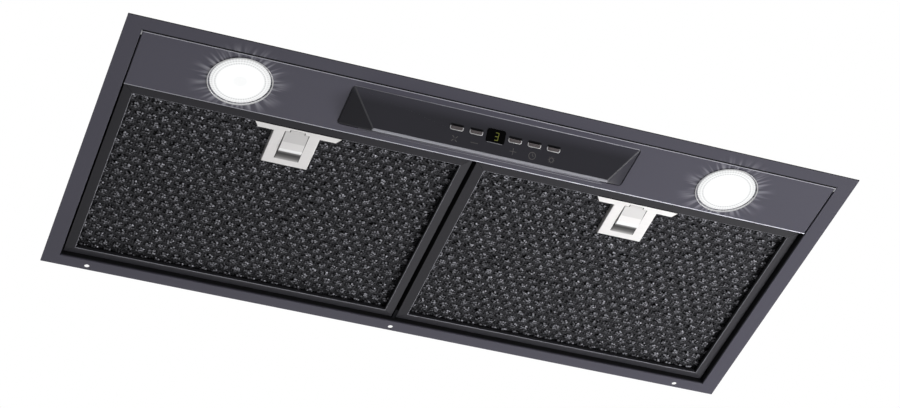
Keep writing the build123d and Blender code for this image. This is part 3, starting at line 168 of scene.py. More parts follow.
class Finish:
    """A procedural material: a Principled shader and what varies over the surface."""

    def __init__(self, name, **constants):
        self.material = bpy.data.materials.new(name)
        self.material.use_nodes = True
        self.tree = self.material.node_tree
        self.shader = self.tree.nodes["Principled BSDF"]
        self.feed(**constants)

    def plug(self, socket, value):
        """Links a field to a socket, or sets the socket's own value."""
        if isinstance(value, Field):
            self.tree.links.new(value.socket, socket)
        elif socket.type == "RGBA":
            socket.default_value = (*value, 1.0)
        else:
            socket.default_value = value

    def node(self, kind, settings=None, inputs=None, output=0):
        """Adds a node: its settings first, then its sockets' values or links."""
        node = self.tree.nodes.new(kind)
        for name, value in (settings or {}).items():
            if name == "stops":
                ramp = node.color_ramp
                while len(ramp.elements) < len(value):
                    ramp.elements.new(1.0)
                for element, (place, tone) in zip(ramp.elements, value):
                    element.position = place
                    element.color = (*(tone if isinstance(tone, tuple) else (tone,) * 3), 1.0)
            else:
                setattr(node, name, value)
        for key, value in (inputs or {}).items():
            self.plug(node.inputs[key], value)
        return Field(self, node.outputs[output])

    def feed(self, **values):
        """Sets or links the shader's own sockets, named with _ for a space."""
        for name, value in values.items():
            self.plug(self.shader.inputs[name.replace("_", " ")], value)
        return self

    def place(self):
        """Object coordinates in metres."""
        return self.node("ShaderNodeTexCoord", output=3)

    def axis(self, place, index):
        return self.node("ShaderNodeSeparateXYZ", None, {0: place}, index)

    def scaled(self, place, factors):
        return self.node("ShaderNodeVectorMath", {"operation": "MULTIPLY"}, {0: place, 1: factors})

    def noise(self, place, scale, detail=2.0, roughness=0.5):
        return self.node(
            "ShaderNodeTexNoise",
            None,
            {"Vector": place, "Scale": scale, "Detail": detail, "Roughness": roughness},
        )

    def cells(self, place, scale, output="Color"):
        return self.node("ShaderNodeTexVoronoi", None, {"Vector": place, "Scale": scale}, output)

    def ramp(self, value, *stops):
        return self.node("ShaderNodeValToRGB", {"stops": stops}, {0: value})

    def shades(self, value, colour, *stops):
        """A ramp of one colour, made darker or lighter by each stop's factor."""
        return self.ramp(value, *((place, shade(colour, much)) for place, much in stops))

    def mix(self, factor, first, second):
        return self.node(
            "ShaderNodeMix", {"data_type": "RGBA"}, {0: factor, 6: first, 7: second}, 2
        )

    def bump(self, height, depth):
        """A normal from a height field that is 0 to 1, its depth in millimetres."""
        return self.node("ShaderNodeBump", None, {"Distance": depth * MM, "Height": height})

    def spread(self, value, low, high):
        """Value 0 to 1 spread evenly between low and high."""
        return value * (high - low) + low

    def between(self, value, start, end):
        """How far a value has come from start to end, eased, from 0 to 1."""
        return self.node(
            "ShaderNodeMapRange",
            {"interpolation_type": "SMOOTHSTEP"},
            {0: value, 1: start, 2: end, 3: 0.0, 4: 1.0},
        )

    def around_lamps(self, place):
        """Distance to the nearer lamp's middle in millimetres, and the angle round it."""
        x = abs(self.axis(place, 0)) - LAMP_X * MM
        y = self.axis(place, 1) - LAMP_Y * MM
        angle = self.node("ShaderNodeMath", {"operation": "ARCTAN2"}, {0: y, 1: x})
        return (x * x + y * y) ** 0.5 / MM, angle


def shade(colour, factor):
    return tuple(min(1.0, c * factor) for c in colour)


def painted(name, colour, gloss, deep=0.0, specular=0.2):
    """Satin powder paint: a fine orange peel, and a slow drift of tone and gloss.

    Above the height deep, in millimetres, where the sheet turns up out of sight, the colour
    falls to near black and the paint grows rough: painted shade, where light hardly reaches.
    """
    finish = Finish(name, Specular_IOR_Level=specular)
    place = finish.place()
    drift = finish.noise(place, 6.0, 3.0)
    peel = finish.noise(place, 900.0)
    tone = finish.mix(drift, shade(colour, 0.94), shade(colour, 1.06))
    # Painted shade: near black above the height deep.
    inside_shade = finish.between(finish.axis(place, 2), deep * MM, (deep + 1.5) * MM)
    return finish.feed(
        Base_Color=finish.mix(inside_shade, tone, (0.004, 0.004, 0.005)),
        Roughness=finish.spread(inside_shade, gloss, 0.85) + (drift - 0.5) * 0.06,
        Normal=finish.bump(peel, 0.03),
    )


def lamplit_paint(name, colour, gloss):
    """The trim's paint, with painted light: soft glowing rays round the lamps' rings."""
    finish = painted(name, colour, gloss)
    radius, angle = finish.around_lamps(finish.place())
    round_lamp = finish.node("ShaderNodeCombineXYZ", None, {0: angle * 5.0, 1: radius * 0.02})
    ray = finish.node(
        "ShaderNodeTexNoise",
        {"noise_dimensions": "2D"},
        {"Vector": round_lamp, "Scale": 1.5, "Detail": 1.0},
    )
    fall = finish.between(radius, RING_RADIUS + 24.0, RING_RADIUS - 2.0)
    sharp = finish.between(ray, 0.4, 0.74)
    return finish.feed(
        Emission_Color=finish.mix(fall * fall * sharp, (0.0, 0.0, 0.0), (0.165, 0.165, 0.175)),
        Emission_Strength=1.0,
    )


def galvanised(name):
    """Zinc spangle: crystals about 6 mm across, each with its own grey and gloss."""
    finish = Finish(name, Metallic=1.0)
    place = finish.place()
    wander = finish.node("ShaderNodeTexNoise", None, {"Vector": place, "Scale": 60.0}, 1)
    bent = place + finish.scaled(wander, (6 * MM, 6 * MM, 6 * MM))
    crystal = finish.axis(finish.cells(bent, 170.0), 0)
    feather = finish.noise(finish.scaled(bent, (3.0, 1.0, 1.0)), 240.0, 3.0)
    tone = crystal * 0.75 + feather * 0.25
    return finish.feed(
        Base_Color=finish.ramp(tone, (0.1, (0.34, 0.35, 0.37)), (0.9, (0.50, 0.51, 0.535))),
        Roughness=finish.spread(tone, 0.42, 0.58),
        Normal=finish.bump(feather, 0.02),
    )


def brushed(name, colour, gloss, lay=None):
    """Brushed metal: fine scratches along X. What lay makes of their tone is the colour."""
    finish = Finish(name, Metallic=1.0)
    place = finish.place()
    scratch = finish.noise(finish.scaled(place, (4.0, 900.0, 900.0)), 2.0, 4.0, 0.6)
    drift = finish.noise(place, 30.0)
    tone = finish.mix(scratch, shade(colour, 0.9), shade(colour, 1.06))
    return finish.feed(
        Base_Color=lay(finish, tone) if lay else tone,
        Roughness=finish.spread(drift * 0.5 + scratch * 0.5, gloss - 0.06, gloss + 0.08),
        Normal=finish.bump(scratch, 0.006),
    )


def moulded(name, colour, gloss, grain, scale, specular=0.5, flows=0.12, lay=None):
    """Moulded plastic: spark-eroded grain, and a faint flow of tone and gloss."""
    finish = Finish(name, Specular_IOR_Level=specular)
    place = finish.place()
    spark = finish.cells(place, scale, "Distance")
    flow = finish.noise(place, 14.0, 3.0)
    tone = finish.mix(flow, shade(colour, 1 - flows), shade(colour, 1 + flows))
    return finish.feed(
        Base_Color=lay(finish, tone) if lay else tone,
        Roughness=finish.spread(flow, gloss - 0.05, gloss + 0.05),
        Normal=finish.bump(spark, grain),
    )


def console_plastic(name, colour):
    """The console's plastic, with a painted sheen: paler in the 9 mm where its front slope
    leaves the panel.
    """

    def painted_sheen(finish, tone):
        # Painted sheen: lighter near the panel's edge.
        y = finish.axis(finish.place(), 1)
        fore = finish.between(y, (SLOPE_START + 9) * MM, SLOPE_START * MM)
        return finish.mix(fore, tone, shade(colour, 1.9))

    return moulded(name, colour, 0.34, 0.015, 1400.0, 0.2, 0.08, painted_sheen)


def mesh_metal(name, colour):
    """Dark coated aluminium strands, with painted highlights: bright specks where the domes
    stand out.

    The piece's shine attribute is 0 on the flat sheet and 1 on top of a dome, and the
    strands' colour follows it as painted light and shade. Each painted highlight lies in a
    cell of about 2.4 mm, its brightness is that cell's own, and dark pits of painted shade
    lie where the cells of a dome meet.
    """
    finish = Finish(name, Metallic=1.0)
    shine = finish.node("ShaderNodeAttribute", {"attribute_name": "shine"}, None, 2)
    place = finish.place()
    cell = {"Vector": finish.scaled(place, (1.0, 1.15, 0.5)), "Scale": 420.0, "Randomness": 0.8}
    away = finish.node("ShaderNodeTexVoronoi", None, cell, "Distance")
    luck = finish.axis(finish.node("ShaderNodeTexVoronoi", None, cell, "Color"), 0)
    # Painted highlights: bright specks on the domes.
    speck = finish.between(away, 0.6, 0.2) * (luck * 0.65 + 0.35) * finish.between(shine, 0.22, 0.7)
    # Painted shade: dark pits where a dome's cells meet.
    pit = finish.between(away, 0.56, 0.74) * finish.between(shine, 0.2, 0.5)
    grit = finish.noise(place, 700.0, 3.0, 0.7)
    # Painted light and shade by height: darker on the domes' flanks, lighter on the flat sheet and
    # brightest on their tops.
    sheet = finish.shades(
        shine, colour, (0.0, 1.6), (0.12, 1.45), (0.3, 0.4), (0.6, 0.9), (0.95, 1.9)
    )
    # The bright specks mixed in here are painted highlights.
    worn = finish.mix(speck, sheet, shade(colour, 11.5))
    return finish.feed(
        Base_Color=finish.mix(pit, worn, shade(colour, 0.05)),
        Roughness=finish.spread(grit, 0.34, 0.6),
        Normal=finish.bump(grit, 0.05),
    )


def core_metal(name):
    """Loose dark layers behind the face mesh, read as crossing strands."""
    finish = Finish(name, Metallic=1.0)
    place = finish.place()
    strands = finish.cells(finish.scaled(place, (1.0, 1.7, 1.0)), 330.0, "Distance")
    line = finish.ramp(strands, (0.35, (0.003, 0.003, 0.004)), (0.8, (0.016, 0.016, 0.018)))
    return finish.feed(Base_Color=line, Roughness=0.7, Normal=finish.bump(strands, 0.6))


def latch_metal(name, colour):
    """A latch plate's steel, with painted shade: dark lines in the gaps round its slider and tab.
    """
    front = SLIDER_FRONT + SLOT_SETBACK
    tab = front - TAB_REACH
    # Painted shade in the gaps: from and to across the slider's middle, from and to along Y, and
    # how dark.
    gaps = (
        (10.9, 11.65, front, SLIDER_REAR + SLIDER_LONGER, 0.9),
        (6.3, 7.3, tab - 0.4, front, 1.0),
        (0.0, 6.5, tab - 0.5, tab, 0.7),
        (7.3, 11.0, front - 0.4, front, 0.4),
    )

    def near(value, low, high):
        return abs(value - (low + high) / 2) < (high - low) / 2

    def painted_gap_shade(finish, tone):
        place = finish.place()
        x = abs(abs(finish.axis(place, 0)) / MM - LATCH_X)
        y = finish.axis(place, 1) / MM
        gap = sum(near(x, x0, x1) * near(y, y0, y1) * dark for x0, x1, y0, y1, dark in gaps)
        return finish.mix(gap, tone, (0.03, 0.029, 0.028))

    return brushed(name, colour, 0.5, painted_gap_shade)


def slider_light_and_shade(name, colour):
    """A slider's steel, painted lighter and darker from front to rear: a painted highlight on
    its crest and painted shade on its tail.
    """
    length = SLIDER_REAR + SLIDER_LONGER - SLIDER_FRONT
    stops = (
        (0.0, 0.84), (0.37, 0.84), (0.39, 1.02), (0.585, 1.02), (0.615, 1.5), (0.685, 1.5),
        (0.725, 0.25), (0.79, 0.08), (0.9, 0.22), (1.0, 0.6),
    )

    def painted_crest_and_tail(finish, tone):
        y = finish.axis(finish.place(), 1) / MM
        return finish.shades((y - SLIDER_FRONT) / length, colour, *stops)

    return brushed(name, colour, 0.45, painted_crest_and_tail)


def glowing(name):
    """Frosted diffuser lit from behind: white middle, greyer dotted rings near the rim.

    Its grey is that of the rings, cut into BEADS dots, and a tenth more in the middle,
    eased away between 5 and 8 mm.
    """
    finish = Finish(name, Roughness=0.4, Base_Color=(0.08, 0.08, 0.08), Specular_IOR_Level=0.2)
    radius, angle = finish.around_lamps(finish.place())
    dots = finish.node("ShaderNodeMath", {"operation": "SINE"}, {0: angle * BEADS}) * 0.5 + 0.5
    reach = 30.0
    rings = (
        (20.6, 0.0), (21.6, 0.3), (22.5, 0.75), (23.4, 0.1), (24.4, 0.3), (25.2, 0.6),
        (26.0, 0.25), (27.2, 0.65),
    )
    lines = finish.ramp(radius / reach, *((ring / reach, grey) for ring, grey in rings))
    hush = finish.between(radius, 8.0, 5.0)
    grey = finish.axis(lines, 0) * (dots * 0.4 + 0.5) + hush * 0.1
    return finish.feed(
        Emission_Color=finish.mix(grey, (0.92, 0.93, 0.93), (0.26, 0.26, 0.27)),
        Emission_Strength=1.0,
    )


def circuit(name):
    """Green board with paler copper runs under the solder mask."""
    finish = Finish(name, Roughness=0.35)
    place = finish.place()
    runs = finish.cells(finish.scaled(place, (1.0, 1.0, 0.2)), 260.0, "Distance")
    return finish.feed(
        Base_Color=finish.ramp(runs, (0.3, (0.004, 0.05, 0.016)), (0.42, (0.012, 0.13, 0.04))),
        Normal=finish.bump(runs, 0.03),
    )


def lit(name, colour):
    """Dim lit segments, unevenly bright as seen through smoked glass."""
    finish = Finish(name, Base_Color=(0.01, 0.01, 0.01), Roughness=0.3)
    cloud = finish.noise(finish.place(), 900.0)
    return finish.feed(
        Emission_Color=finish.mix(cloud, shade(colour, 0.6), colour), Emission_Strength=1.0
    )


FINISHES = {}


def set_finishes(tones):
    """Makes every finish once, from the colours in the panel."""
    edge = tones.trim_edge
    recipes = {
        # Both paints fall to painted shade above the flange's top face.
        "trim_paint": (lamplit_paint, shade(tones.trim, 1.03), tones.trim_gloss),
        "panel_paint": (lamplit_paint, shade(tones.trim, 1.14), tones.trim_gloss),
        # The frames' paint falls to painted shade above 4.6 mm.
        "filter_paint": (painted, tones.filter_frame, 0.4, 4.6),
        # Painted highlights: lighter paint on the folds, hems, crest, hips and ribs, for the light
        # they catch.
        "trim_edge": (painted, edge, 0.3, 0.4),
        "hem_edge": (painted, shade(edge, 1.6), 0.3, 0.4),
        "filter_edge": (painted, shade(edge, 0.5), 0.3, 4.8),
        "console_edge": (painted, shade(edge, 0.62), 0.35),
        "console_hip": (painted, shade(edge, 0.15), 0.35),
        "console_step": (painted, shade(edge, 0.42), 0.35),
        # Near black, used mostly as painted shade.
        "saddle_black": (painted, (0.006, 0.006, 0.007), 0.7, 0.0, 0.05),
        "filter_mesh": (mesh_metal, tones.mesh),
        "core_mesh": (core_metal,),
        "zinc_sheet": (galvanised,),
        "spring_steel": (brushed, (0.5, 0.5, 0.52), 0.3),
        "screw_steel": (brushed, (0.55, 0.55, 0.57), 0.28),
        "latch_steel": (latch_metal, tones.latch),
        "slider_steel": (slider_light_and_shade, tones.latch),
        # Painted shade: a darker copy of the latch steel, for faces turned from the light.
        "steel_side": (brushed, shade(tones.latch, 0.13), 0.4),
        "lamp_chrome": (brushed, (0.86, 0.86, 0.87), 0.12),
        "button_chrome": (brushed, (0.78, 0.77, 0.78), 0.3),
        "button_grey": (moulded, (0.085, 0.074, 0.076), 0.45, 0.12, 900.0, 0.2),
        "console_plastic": (console_plastic, tones.console),
        "display_glass": (moulded, (0.001, 0.001, 0.0011), 0.3, 0.0, 300.0, 0.03),
        "black_plastic": (moulded, (0.018, 0.018, 0.02), 0.45, 0.05, 900.0),
        "blower_plastic": (moulded, (0.05, 0.05, 0.055), 0.5, 0.05, 900.0),
        "board_green": (circuit,),
        "motor_metal": (brushed, (0.45, 0.46, 0.48), 0.4),
        "lamp_diffuser": (glowing,),
        "digit_glow": (lit, tones.digit),
        "icon_ink": (moulded, (0.085, 0.08, 0.08), 0.5, 0.0, 900.0, 0.2),
    }
    for name, (make, *recipe) in recipes.items():
        FINISHES[name] = make(name, *recipe)


def dress(piece, finish):
    """Gives every material slot of a piece one finish."""
    material = FINISHES[finish].material
    slots = piece.data.materials
    for index in range(len(slots)):
        slots[index] = material
    if not slots:
        slots.append(material)


# ---------------------------------------------------------------- making pieces


def grid_faces(rows, columns, wrap_rows=False, wrap_columns=False):
    """Corner numbers of the quads between the neighbours of a grid of points."""
    r, c = np.meshgrid(
        np.arange(rows if wrap_rows else rows - 1),
        np.arange(columns if wrap_columns else columns - 1),
        indexing="ij",
    )
    below, beside = (r + 1) % rows, (c + 1) % columns
    quads = [r * columns + c, r * columns + beside, below * columns + beside, below * columns + c]
    return np.stack(quads, -1).reshape(-1, 4).tolist()


def add_piece(name, shape, finish, body, slot, replaces=(), smooth=True):
    """Makes a closed piece from points in millimetres and faces, and settles it."""
    points, faces = shape
    mesh = bpy.data.meshes.new(name)
    mesh.from_pydata((np.asarray(points).reshape(-1, 3) * MM).tolist(), [], faces)
    build = bmesh.new()
    build.from_mesh(mesh)
    bmesh.ops.remove_doubles(build, verts=build.verts, dist=1e-7)
    bmesh.ops.recalc_face_normals(build, faces=build.faces)
    build.to_mesh(mesh)
    build.free()
    mesh.polygons.foreach_set("use_smooth", [smooth] * len(mesh.polygons))
    return settle(bpy.data.objects.new(name, mesh), finish, body, slot, replaces)


def settle(piece, finish, body, slot, replaces=()):
    """Links a finished piece, puts it on its body and hides the nodes it replaces. Its slot is
    not used.
    """
    bpy.context.scene.collection.objects.link(piece)
    dress(piece, finish)
    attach(piece, body)
    if replaces:
        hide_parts(*replaces)
    return piece


def several(parts):
    """Joins (points, faces) pairs into one list of points and one of faces."""
    points, faces, start = [], [], 0
    for part_points, part_faces in parts:
        part_points = np.asarray(part_points).reshape(-1, 3)
        points.append(part_points)
        faces += [[corner + start for corner in face] for face in part_faces]
        start += len(part_points)
    return np.concatenate(points), faces


def welded_copy(node):
    """A node's mesh with its loose triangles welded and its flat faces made whole."""
    build = bmesh.new()
    build.from_mesh(NODES[node].data)
    bmesh.ops.remove_doubles(build, verts=build.verts, dist=2e-6)
    bmesh.ops.dissolve_limit(
        build, angle_limit=FLAT_ANGLE, verts=build.verts, edges=build.edges
    )
    return build


def read(items, name, shape=(-1,), kind=float):
    """One number or vector of every vertex or face, as an array."""
    wide = 3 if len(shape) == 2 else 1
    values = np.empty(wide * len(items), kind)
    items.foreach_get(name, values)
    return values.reshape(shape)


def soften(
    node, finish, body, slot, radius, fold=None, fold_radius=0.0, others=(), tint=None, move=None
):
    """Stands a copy of a node in its place with its sharp edges rounded.

    The edges that `fold` picks, from their two ends in millimetres, are rounded by
    fold_radius, and every other sharp edge by radius. The finishes in `others` count
    from 1. The first is on the rounded folds, and `tint` may give any of their numbers to
    a face, from the faces' middles and normals. `move` gives the points new places.
    """
    build = welded_copy(node)

    def sharp(edge):
        return len(edge.link_faces) == 2 and edge.calc_face_angle(0.0) > SHARP_ANGLE

    if fold is not None:
        picked = [
            edge
            for edge in build.edges
            if sharp(edge) and fold(*(np.array(v.co) / MM for v in edge.verts))
        ]
        bmesh.ops.bevel(
            build,
            geom=picked,
            offset=fold_radius * MM,
            segments=4,
            profile=0.5,
            affect="EDGES",
            clamp_overlap=True,
            material=1,
        )
    layer = build.edges.layers.float.new("bevel_weight_edge")
    for edge in build.edges:
        edge[layer] = 1.0 if sharp(edge) else 0.0
    mesh = bpy.data.meshes.new(node + "_soft")
    build.to_mesh(mesh)
    build.free()
    faces = mesh.polygons
    faces.foreach_set("use_smooth", [True] * len(faces))
    if tint is not None:
        middle, normal = (read(faces, name, (-1, 3)) for name in ("center", "normal"))
        picked = tint(middle / MM, normal).astype(np.int32)
        present = read(faces, "material_index", kind=np.int32)
        faces.foreach_set("material_index", np.where(picked > 0, picked, present))
    if move is not None:
        points = move(read(mesh.vertices, "co", (-1, 3)) / MM) * MM
        mesh.vertices.foreach_set("co", points.ravel())
    piece = bpy.data.objects.new(mesh.name, mesh)
    bevel = piece.modifiers.new("edges", "BEVEL")
    bevel.limit_method = "WEIGHT"
    bevel.width = radius * MM
    bevel.segments = 2
    bevel.use_clamp_overlap = True
    bevel.miter_outer = "MITER_ARC"
    piece.modifiers.new("normals", "WEIGHTED_NORMAL").keep_sharp = True
    settle(piece, finish, body, slot, (node,))
    for other in others:
        mesh.materials.append(FINISHES[other].material)
    return piece


def prism(outline, low, high, place):
    """A closed prism on an outline of (u, v) points, between two heights of place."""
    outline = np.asarray(outline, float)
    count = len(outline)
    points = np.concatenate(
        [place(outline[:, 0], outline[:, 1], level) for level in (low, high)]
    )
    sides = grid_faces(2, count, wrap_columns=True)
    return points, sides + [list(range(count)), list(range(count, 2 * count))]


def ring_strip(u, v, outer, inner, low, high, place):
    """A flat closed ring round (u, v): four circles joined as a torus of square section."""
    turn = np.linspace(0, 2 * math.pi, RING_POINTS, endpoint=False)
    radius = np.array([outer, outer, inner, inner])[:, None]
    level = np.array([low, high, high, low])[:, None]
    points = place(u + radius * np.cos(turn), v + radius * np.sin(turn), level)
    return points, grid_faces(4, RING_POINTS, wrap_rows=True, wrap_columns=True)


def bar(u0, v0, u1, v1, width):
    """Corners of a straight stroke of a drawn sign, half a width to each side."""
    along = np.array([u1 - u0, v1 - v0], float)
    along /= np.linalg.norm(along)
    across = np.array([-along[1], along[0]]) * width / 2
    ends = np.array([[u0, v0], [u1, v1]])
    return np.array([*(ends - across), *(ends + across)[::-1]])


def turned(radii, heights, x, y, relief=None):
    """A surface of revolution about an upright line, closed where its radius is nought.

    Point (i, j) stands at angle 2 pi j / TURN_POINTS on a circle of radius i, at height
    i plus relief(radius, angle).
    """
    turn = np.linspace(0, 2 * math.pi, TURN_POINTS, endpoint=False)
    r = np.asarray(radii, float)[:, None] * np.ones(TURN_POINTS)
    z = np.asarray(heights, float)[:, None] * np.ones(TURN_POINTS)
    if relief is not None:
        z = z + relief(r, turn[None, :])
    points = np.stack([x + r * np.cos(turn), y + r * np.sin(turn), z], -1)
    return points, grid_faces(len(radii), TURN_POINTS, wrap_columns=True)


# ---------------------------------------------------------------- sizes and colours


COLOUR = {"subtype": "COLOR", "min": 0.0, "max": 1.0}
LENGTH = {"unit": "LENGTH", "precision": 5}


class HoodTones(bpy.types.PropertyGroup):
    """Colours and gloss of the main finishes."""

    trim: bpy.props.FloatVectorProperty(
        name="Trim paint",
        description="Colour of the flange and lamp panel",
        default=(0.045, 0.0433, 0.0575),
        **COLOUR,
    )
    trim_gloss: bpy.props.FloatProperty(
        name="Trim roughness",
        description="Roughness of the satin paint",
        subtype="FACTOR",
        default=0.4,
        min=0.0,
        max=1.0,
    )
    # Painted highlight: the lighter colour on the folded edges stands in for the light they catch.
    trim_edge: bpy.props.FloatVectorProperty(
        name="Trim edges",
        description="Colour of the paint where it is worn thin on a folded edge",
        default=(0.36, 0.36, 0.40),
        **COLOUR,
    )
    filter_frame: bpy.props.FloatVectorProperty(
        name="Filter frame",
        description="Colour of the filters' painted frames",
        default=(0.0195, 0.019, 0.0225),
        **COLOUR,
    )
    mesh: bpy.props.FloatVectorProperty(
        name="Filter mesh",
        description="Colour of the coated aluminium mesh",
        default=(0.026, 0.026, 0.0285),
        **COLOUR,
    )
    console: bpy.props.FloatVectorProperty(
        name="Console",
        description="Colour of the console's plastic",
        default=(0.019, 0.0185, 0.024),
        **COLOUR,
    )
    latch: bpy.props.FloatVectorProperty(
        name="Latches",
        description="Colour of the stainless latches",
        default=(0.78, 0.765, 0.76),
        **COLOUR,
    )
    digit: bpy.props.FloatVectorProperty(
        name="Display digit",
        description="Colour of the lit segments",
        default=(0.16, 0.17, 0.01),
        **COLOUR,
    )


class MeshSizes(bpy.types.PropertyGroup):
    """Sizes of the pressed filter mesh and of the softened edges."""

    dome_pitch: bpy.props.FloatProperty(
        name="Dome pitch",
        description="Distance between the domes of a row",
        default=11.83 * MM,
        min=4.0 * MM,
        **LENGTH,
    )
    dome_row: bpy.props.FloatProperty(
        name="Dome row",
        description="Distance between the rows of domes",
        default=10.0 * MM,
        min=4.0 * MM,
        **LENGTH,
    )
    dome_rise: bpy.props.FloatProperty(
        name="Dome rise",
        description="How far a dome stands out of the mesh",
        default=2.1 * MM,
        min=0.0,
        max=2.2 * MM,
        **LENGTH,
    )
    dome_radius: bpy.props.FloatProperty(
        name="Dome radius",
        description="Radius of a dome's foot",
        default=5.2 * MM,
        min=1.0 * MM,
        **LENGTH,
    )
    strand: bpy.props.FloatProperty(
        name="Strand share",
        description="Share of a diamond of the mesh that is strand rather than hole",
        subtype="FACTOR",
        default=0.46,
        min=0.1,
        max=0.9,
    )
    edge_radius: bpy.props.FloatProperty(
        name="Edge radius",
        description="Rounding of cut sheet edges",
        default=0.22 * MM,
        min=0.01 * MM,
        max=0.5 * MM,
        **LENGTH,
    )


# ---------------------------------------------------------------- pieces


class HOOD_OT_finishes(bpy.types.Operator):
    """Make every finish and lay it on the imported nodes"""

    bl_idname = "hood.finishes"
    bl_label = "Finishes"

    def execute(self, context):
        set_finishes(context.scene.hood_tones)
        for name, node in NODES.items():
            plain = name.removeprefix("left_").removeprefix("right_")
            dress(node, NODE_FINISHES.get(plain, "zinc_sheet"))
        return {"FINISHED"}


NODE_FINISHES = {
    node: finish
    for finish, nodes in {
        "trim_paint": ["trim_frame"],
        "panel_paint": ["lamp_panel"],
        # On the panel saddles and the hanger rail this black is painted shade, where they show.
        "saddle_black": ["panel_saddles", "filter_hanger_rail", "pivot_pins"],
        "lamp_chrome": ["lamp_rings"],
        "lamp_diffuser": ["lamp_lenses"],
        "motor_metal": ["motor", "motor_capacitor", "lamp_bodies"],
        "spring_steel": ["side_clips", "lamp_clips", "latch_spring"],
        "screw_steel": ["board_screws", "casing_screws", "impeller_shaft", "damper_spindle"],
        "console_plastic": ["console_shell"],
        "button_chrome": ["button_bezels"],
        "button_grey": ["button_" + name for name in BUTTONS],
        "display_glass": ["display_window"],
        "board_green": ["control_board"],
        "black_plastic": [
            "display_module", "tact_switches", "lamp_driver", "outlet_collar",
            "damper_flap_front", "damper_flap_rear", "terminal_box", "terminal_lid", "cable_gland",
        ],
        "blower_plastic": ["impeller"],
        "filter_paint": ["filter_frame"],
        "filter_mesh": ["front_mesh", "back_mesh"],
        "core_mesh": ["mesh_core"],
        "latch_steel": ["latch_plate", "latch_slider"],
    }.items()
    for node in nodes
}


class HOOD_OT_filter_mesh(bpy.types.Operator):
    """Make the pressed expanded mesh of both filters"""

    bl_idname = "hood.filter_mesh"
    bl_label = "Filter mesh"

    def execute(self, context):
        for side in SIDES:
            *shape, shine = pressed_mesh(side, context.scene.hood_mesh)
            piece = add_piece(
                side + "_pressed_mesh",
                shape,
                "filter_mesh",
                side + "_filter",
                "filter_mesh",
                (side + "_front_mesh",),
            )
            piece.data.attributes.new("shine", "FLOAT", "POINT").data.foreach_set("value", shine)
            wall = piece.modifiers.new("wall", "SOLIDIFY")
            wall.thickness = MESH_WALL * MM
            wall.offset = 1.0
        return {"FINISHED"}


MESH_WALL = 0.35
MESH_CLEARANCE = 0.05
MESH_LIFT = 0.3
MESH_TILT = 0.28
MESH_UNEVEN = 0.12
MESH_FLAT = 0.1
TRAY_HALF = 18.0
TRAY_REAR = 3.0


def domes(places, pitch, row, foot):
    """Share of their full rise that the pressed domes have at places of a flat sheet.

    The domes stand pitch apart in rows that are row apart, every other one shifted by
    half a pitch. The share is the eased part of the way from a dome's foot, at that
    radius from its middle, to half of the radius, and it is 1 inside.
    """
    share = 0.0
    for shift in (0.0, 0.5):
        u = (places[..., 0] / pitch + shift + 0.5) % 1.0 - 0.5
        v = (places[..., 1] / (2 * row) + shift + 0.5) % 1.0 - 0.5
        away = np.hypot(u * pitch, v * 2 * row) / foot
        slope = np.clip((1 - away) / 0.5, 0, 1)
        share = np.maximum(share, slope * slope * (3 - 2 * slope))
    return share


def pressed_mesh(side, sizes):
    """Diamond mesh of one filter, pressed into rows of domes: points, faces and shine.

    On a grid of a quarter of the domes' pitch by a sixth of their rows' distance, the
    points whose two numbers add up to an even one are the knots of the mesh, and the
    others are the middles of its diamonds. Four quads join each diamond's knots to its
    hole, whose corners stand at 1 - strand of the way from the middle to the knots on a
    dome, and at a quarter of that between the domes. A knot lies at the sheet's level
    less the dome's rise. A hole's corner lies a little deeper, tilted from the front one
    to the rear one, as the strands of expanded metal are. Shine is the dome's share of
    its full rise, and three quarters of that beside the holes. What rises by more than
    MESH_FLAT is uneven by chance. There is no mesh where the latch's tray lies.
    """
    low, high = span(side + "_front_mesh")
    plate_low, plate_high = span(side + "_latch_plate")
    pitch, row, foot, rise = np.array(
        [sizes.dome_pitch, sizes.dome_row, sizes.dome_radius, sizes.dome_rise]
    ) / MM
    dome = functools.partial(domes, pitch=pitch, row=row, foot=foot)
    level = high[2] - MESH_WALL - MESH_CLEARANCE
    middle = (low + high)[:2] / 2
    step = np.array([pitch / 4, row / 6])
    wide, deep = np.floor((high - low)[:2] / step / 2 - 0.5).astype(int)
    grid = np.meshgrid(np.arange(-wide, wide + 1), np.arange(-deep, deep + 1), indexing="ij")
    grid = np.stack(grid, -1).reshape(-1, 2)
    inside = (abs(grid) < [wide, deep]).all(1)
    x, y = (middle + grid * step).T
    tray = abs(x - (plate_low[0] + plate_high[0]) / 2) < TRAY_HALF
    tray &= y < plate_high[1] - TRAY_REAR
    hole = grid[(grid.sum(1) % 2 == 1) & inside & ~tray][:, None]
    ways = np.array([[1, 0], [0, 1], [-1, 0], [0, -1]])
    row_length = 2 * deep + 1
    key = (hole + ways + [wide, deep]) @ [row_length, 1]
    used, corner = np.unique(key, return_inverse=True)
    corner = corner.reshape(key.shape)
    knots = (np.stack([used // row_length, used % row_length], -1) - [wide, deep]) * step
    share = (1.0 - sizes.strand) * (0.25 + 0.75 * dome(hole * step))
    holes = hole * step + share[..., None] * ways * step
    sink = MESH_LIFT + MESH_TILT * ways[:, 1]
    hole_level = np.minimum(level - rise * dome(holes) + sink, level)
    rim = np.arange(holes.shape[0] * 4).reshape(-1, 4) + len(knots)
    quads = np.stack([corner, np.roll(corner, -1, 1), np.roll(rim, -1, 1), rim], -1)
    places = np.concatenate([knots, holes.reshape(-1, 2)])
    heights = np.concatenate([level - rise * dome(knots), hole_level.ravel()])
    shine = dome(places)
    shine[len(knots) :] *= 0.75
    chance = np.random.default_rng(5).random(len(heights)) - 0.5
    heights += MESH_UNEVEN * chance * (heights < level - MESH_FLAT)
    points = np.column_stack([places + middle, heights])
    return points, quads.reshape(-1, 4).tolist(), shine.astype(np.float32)


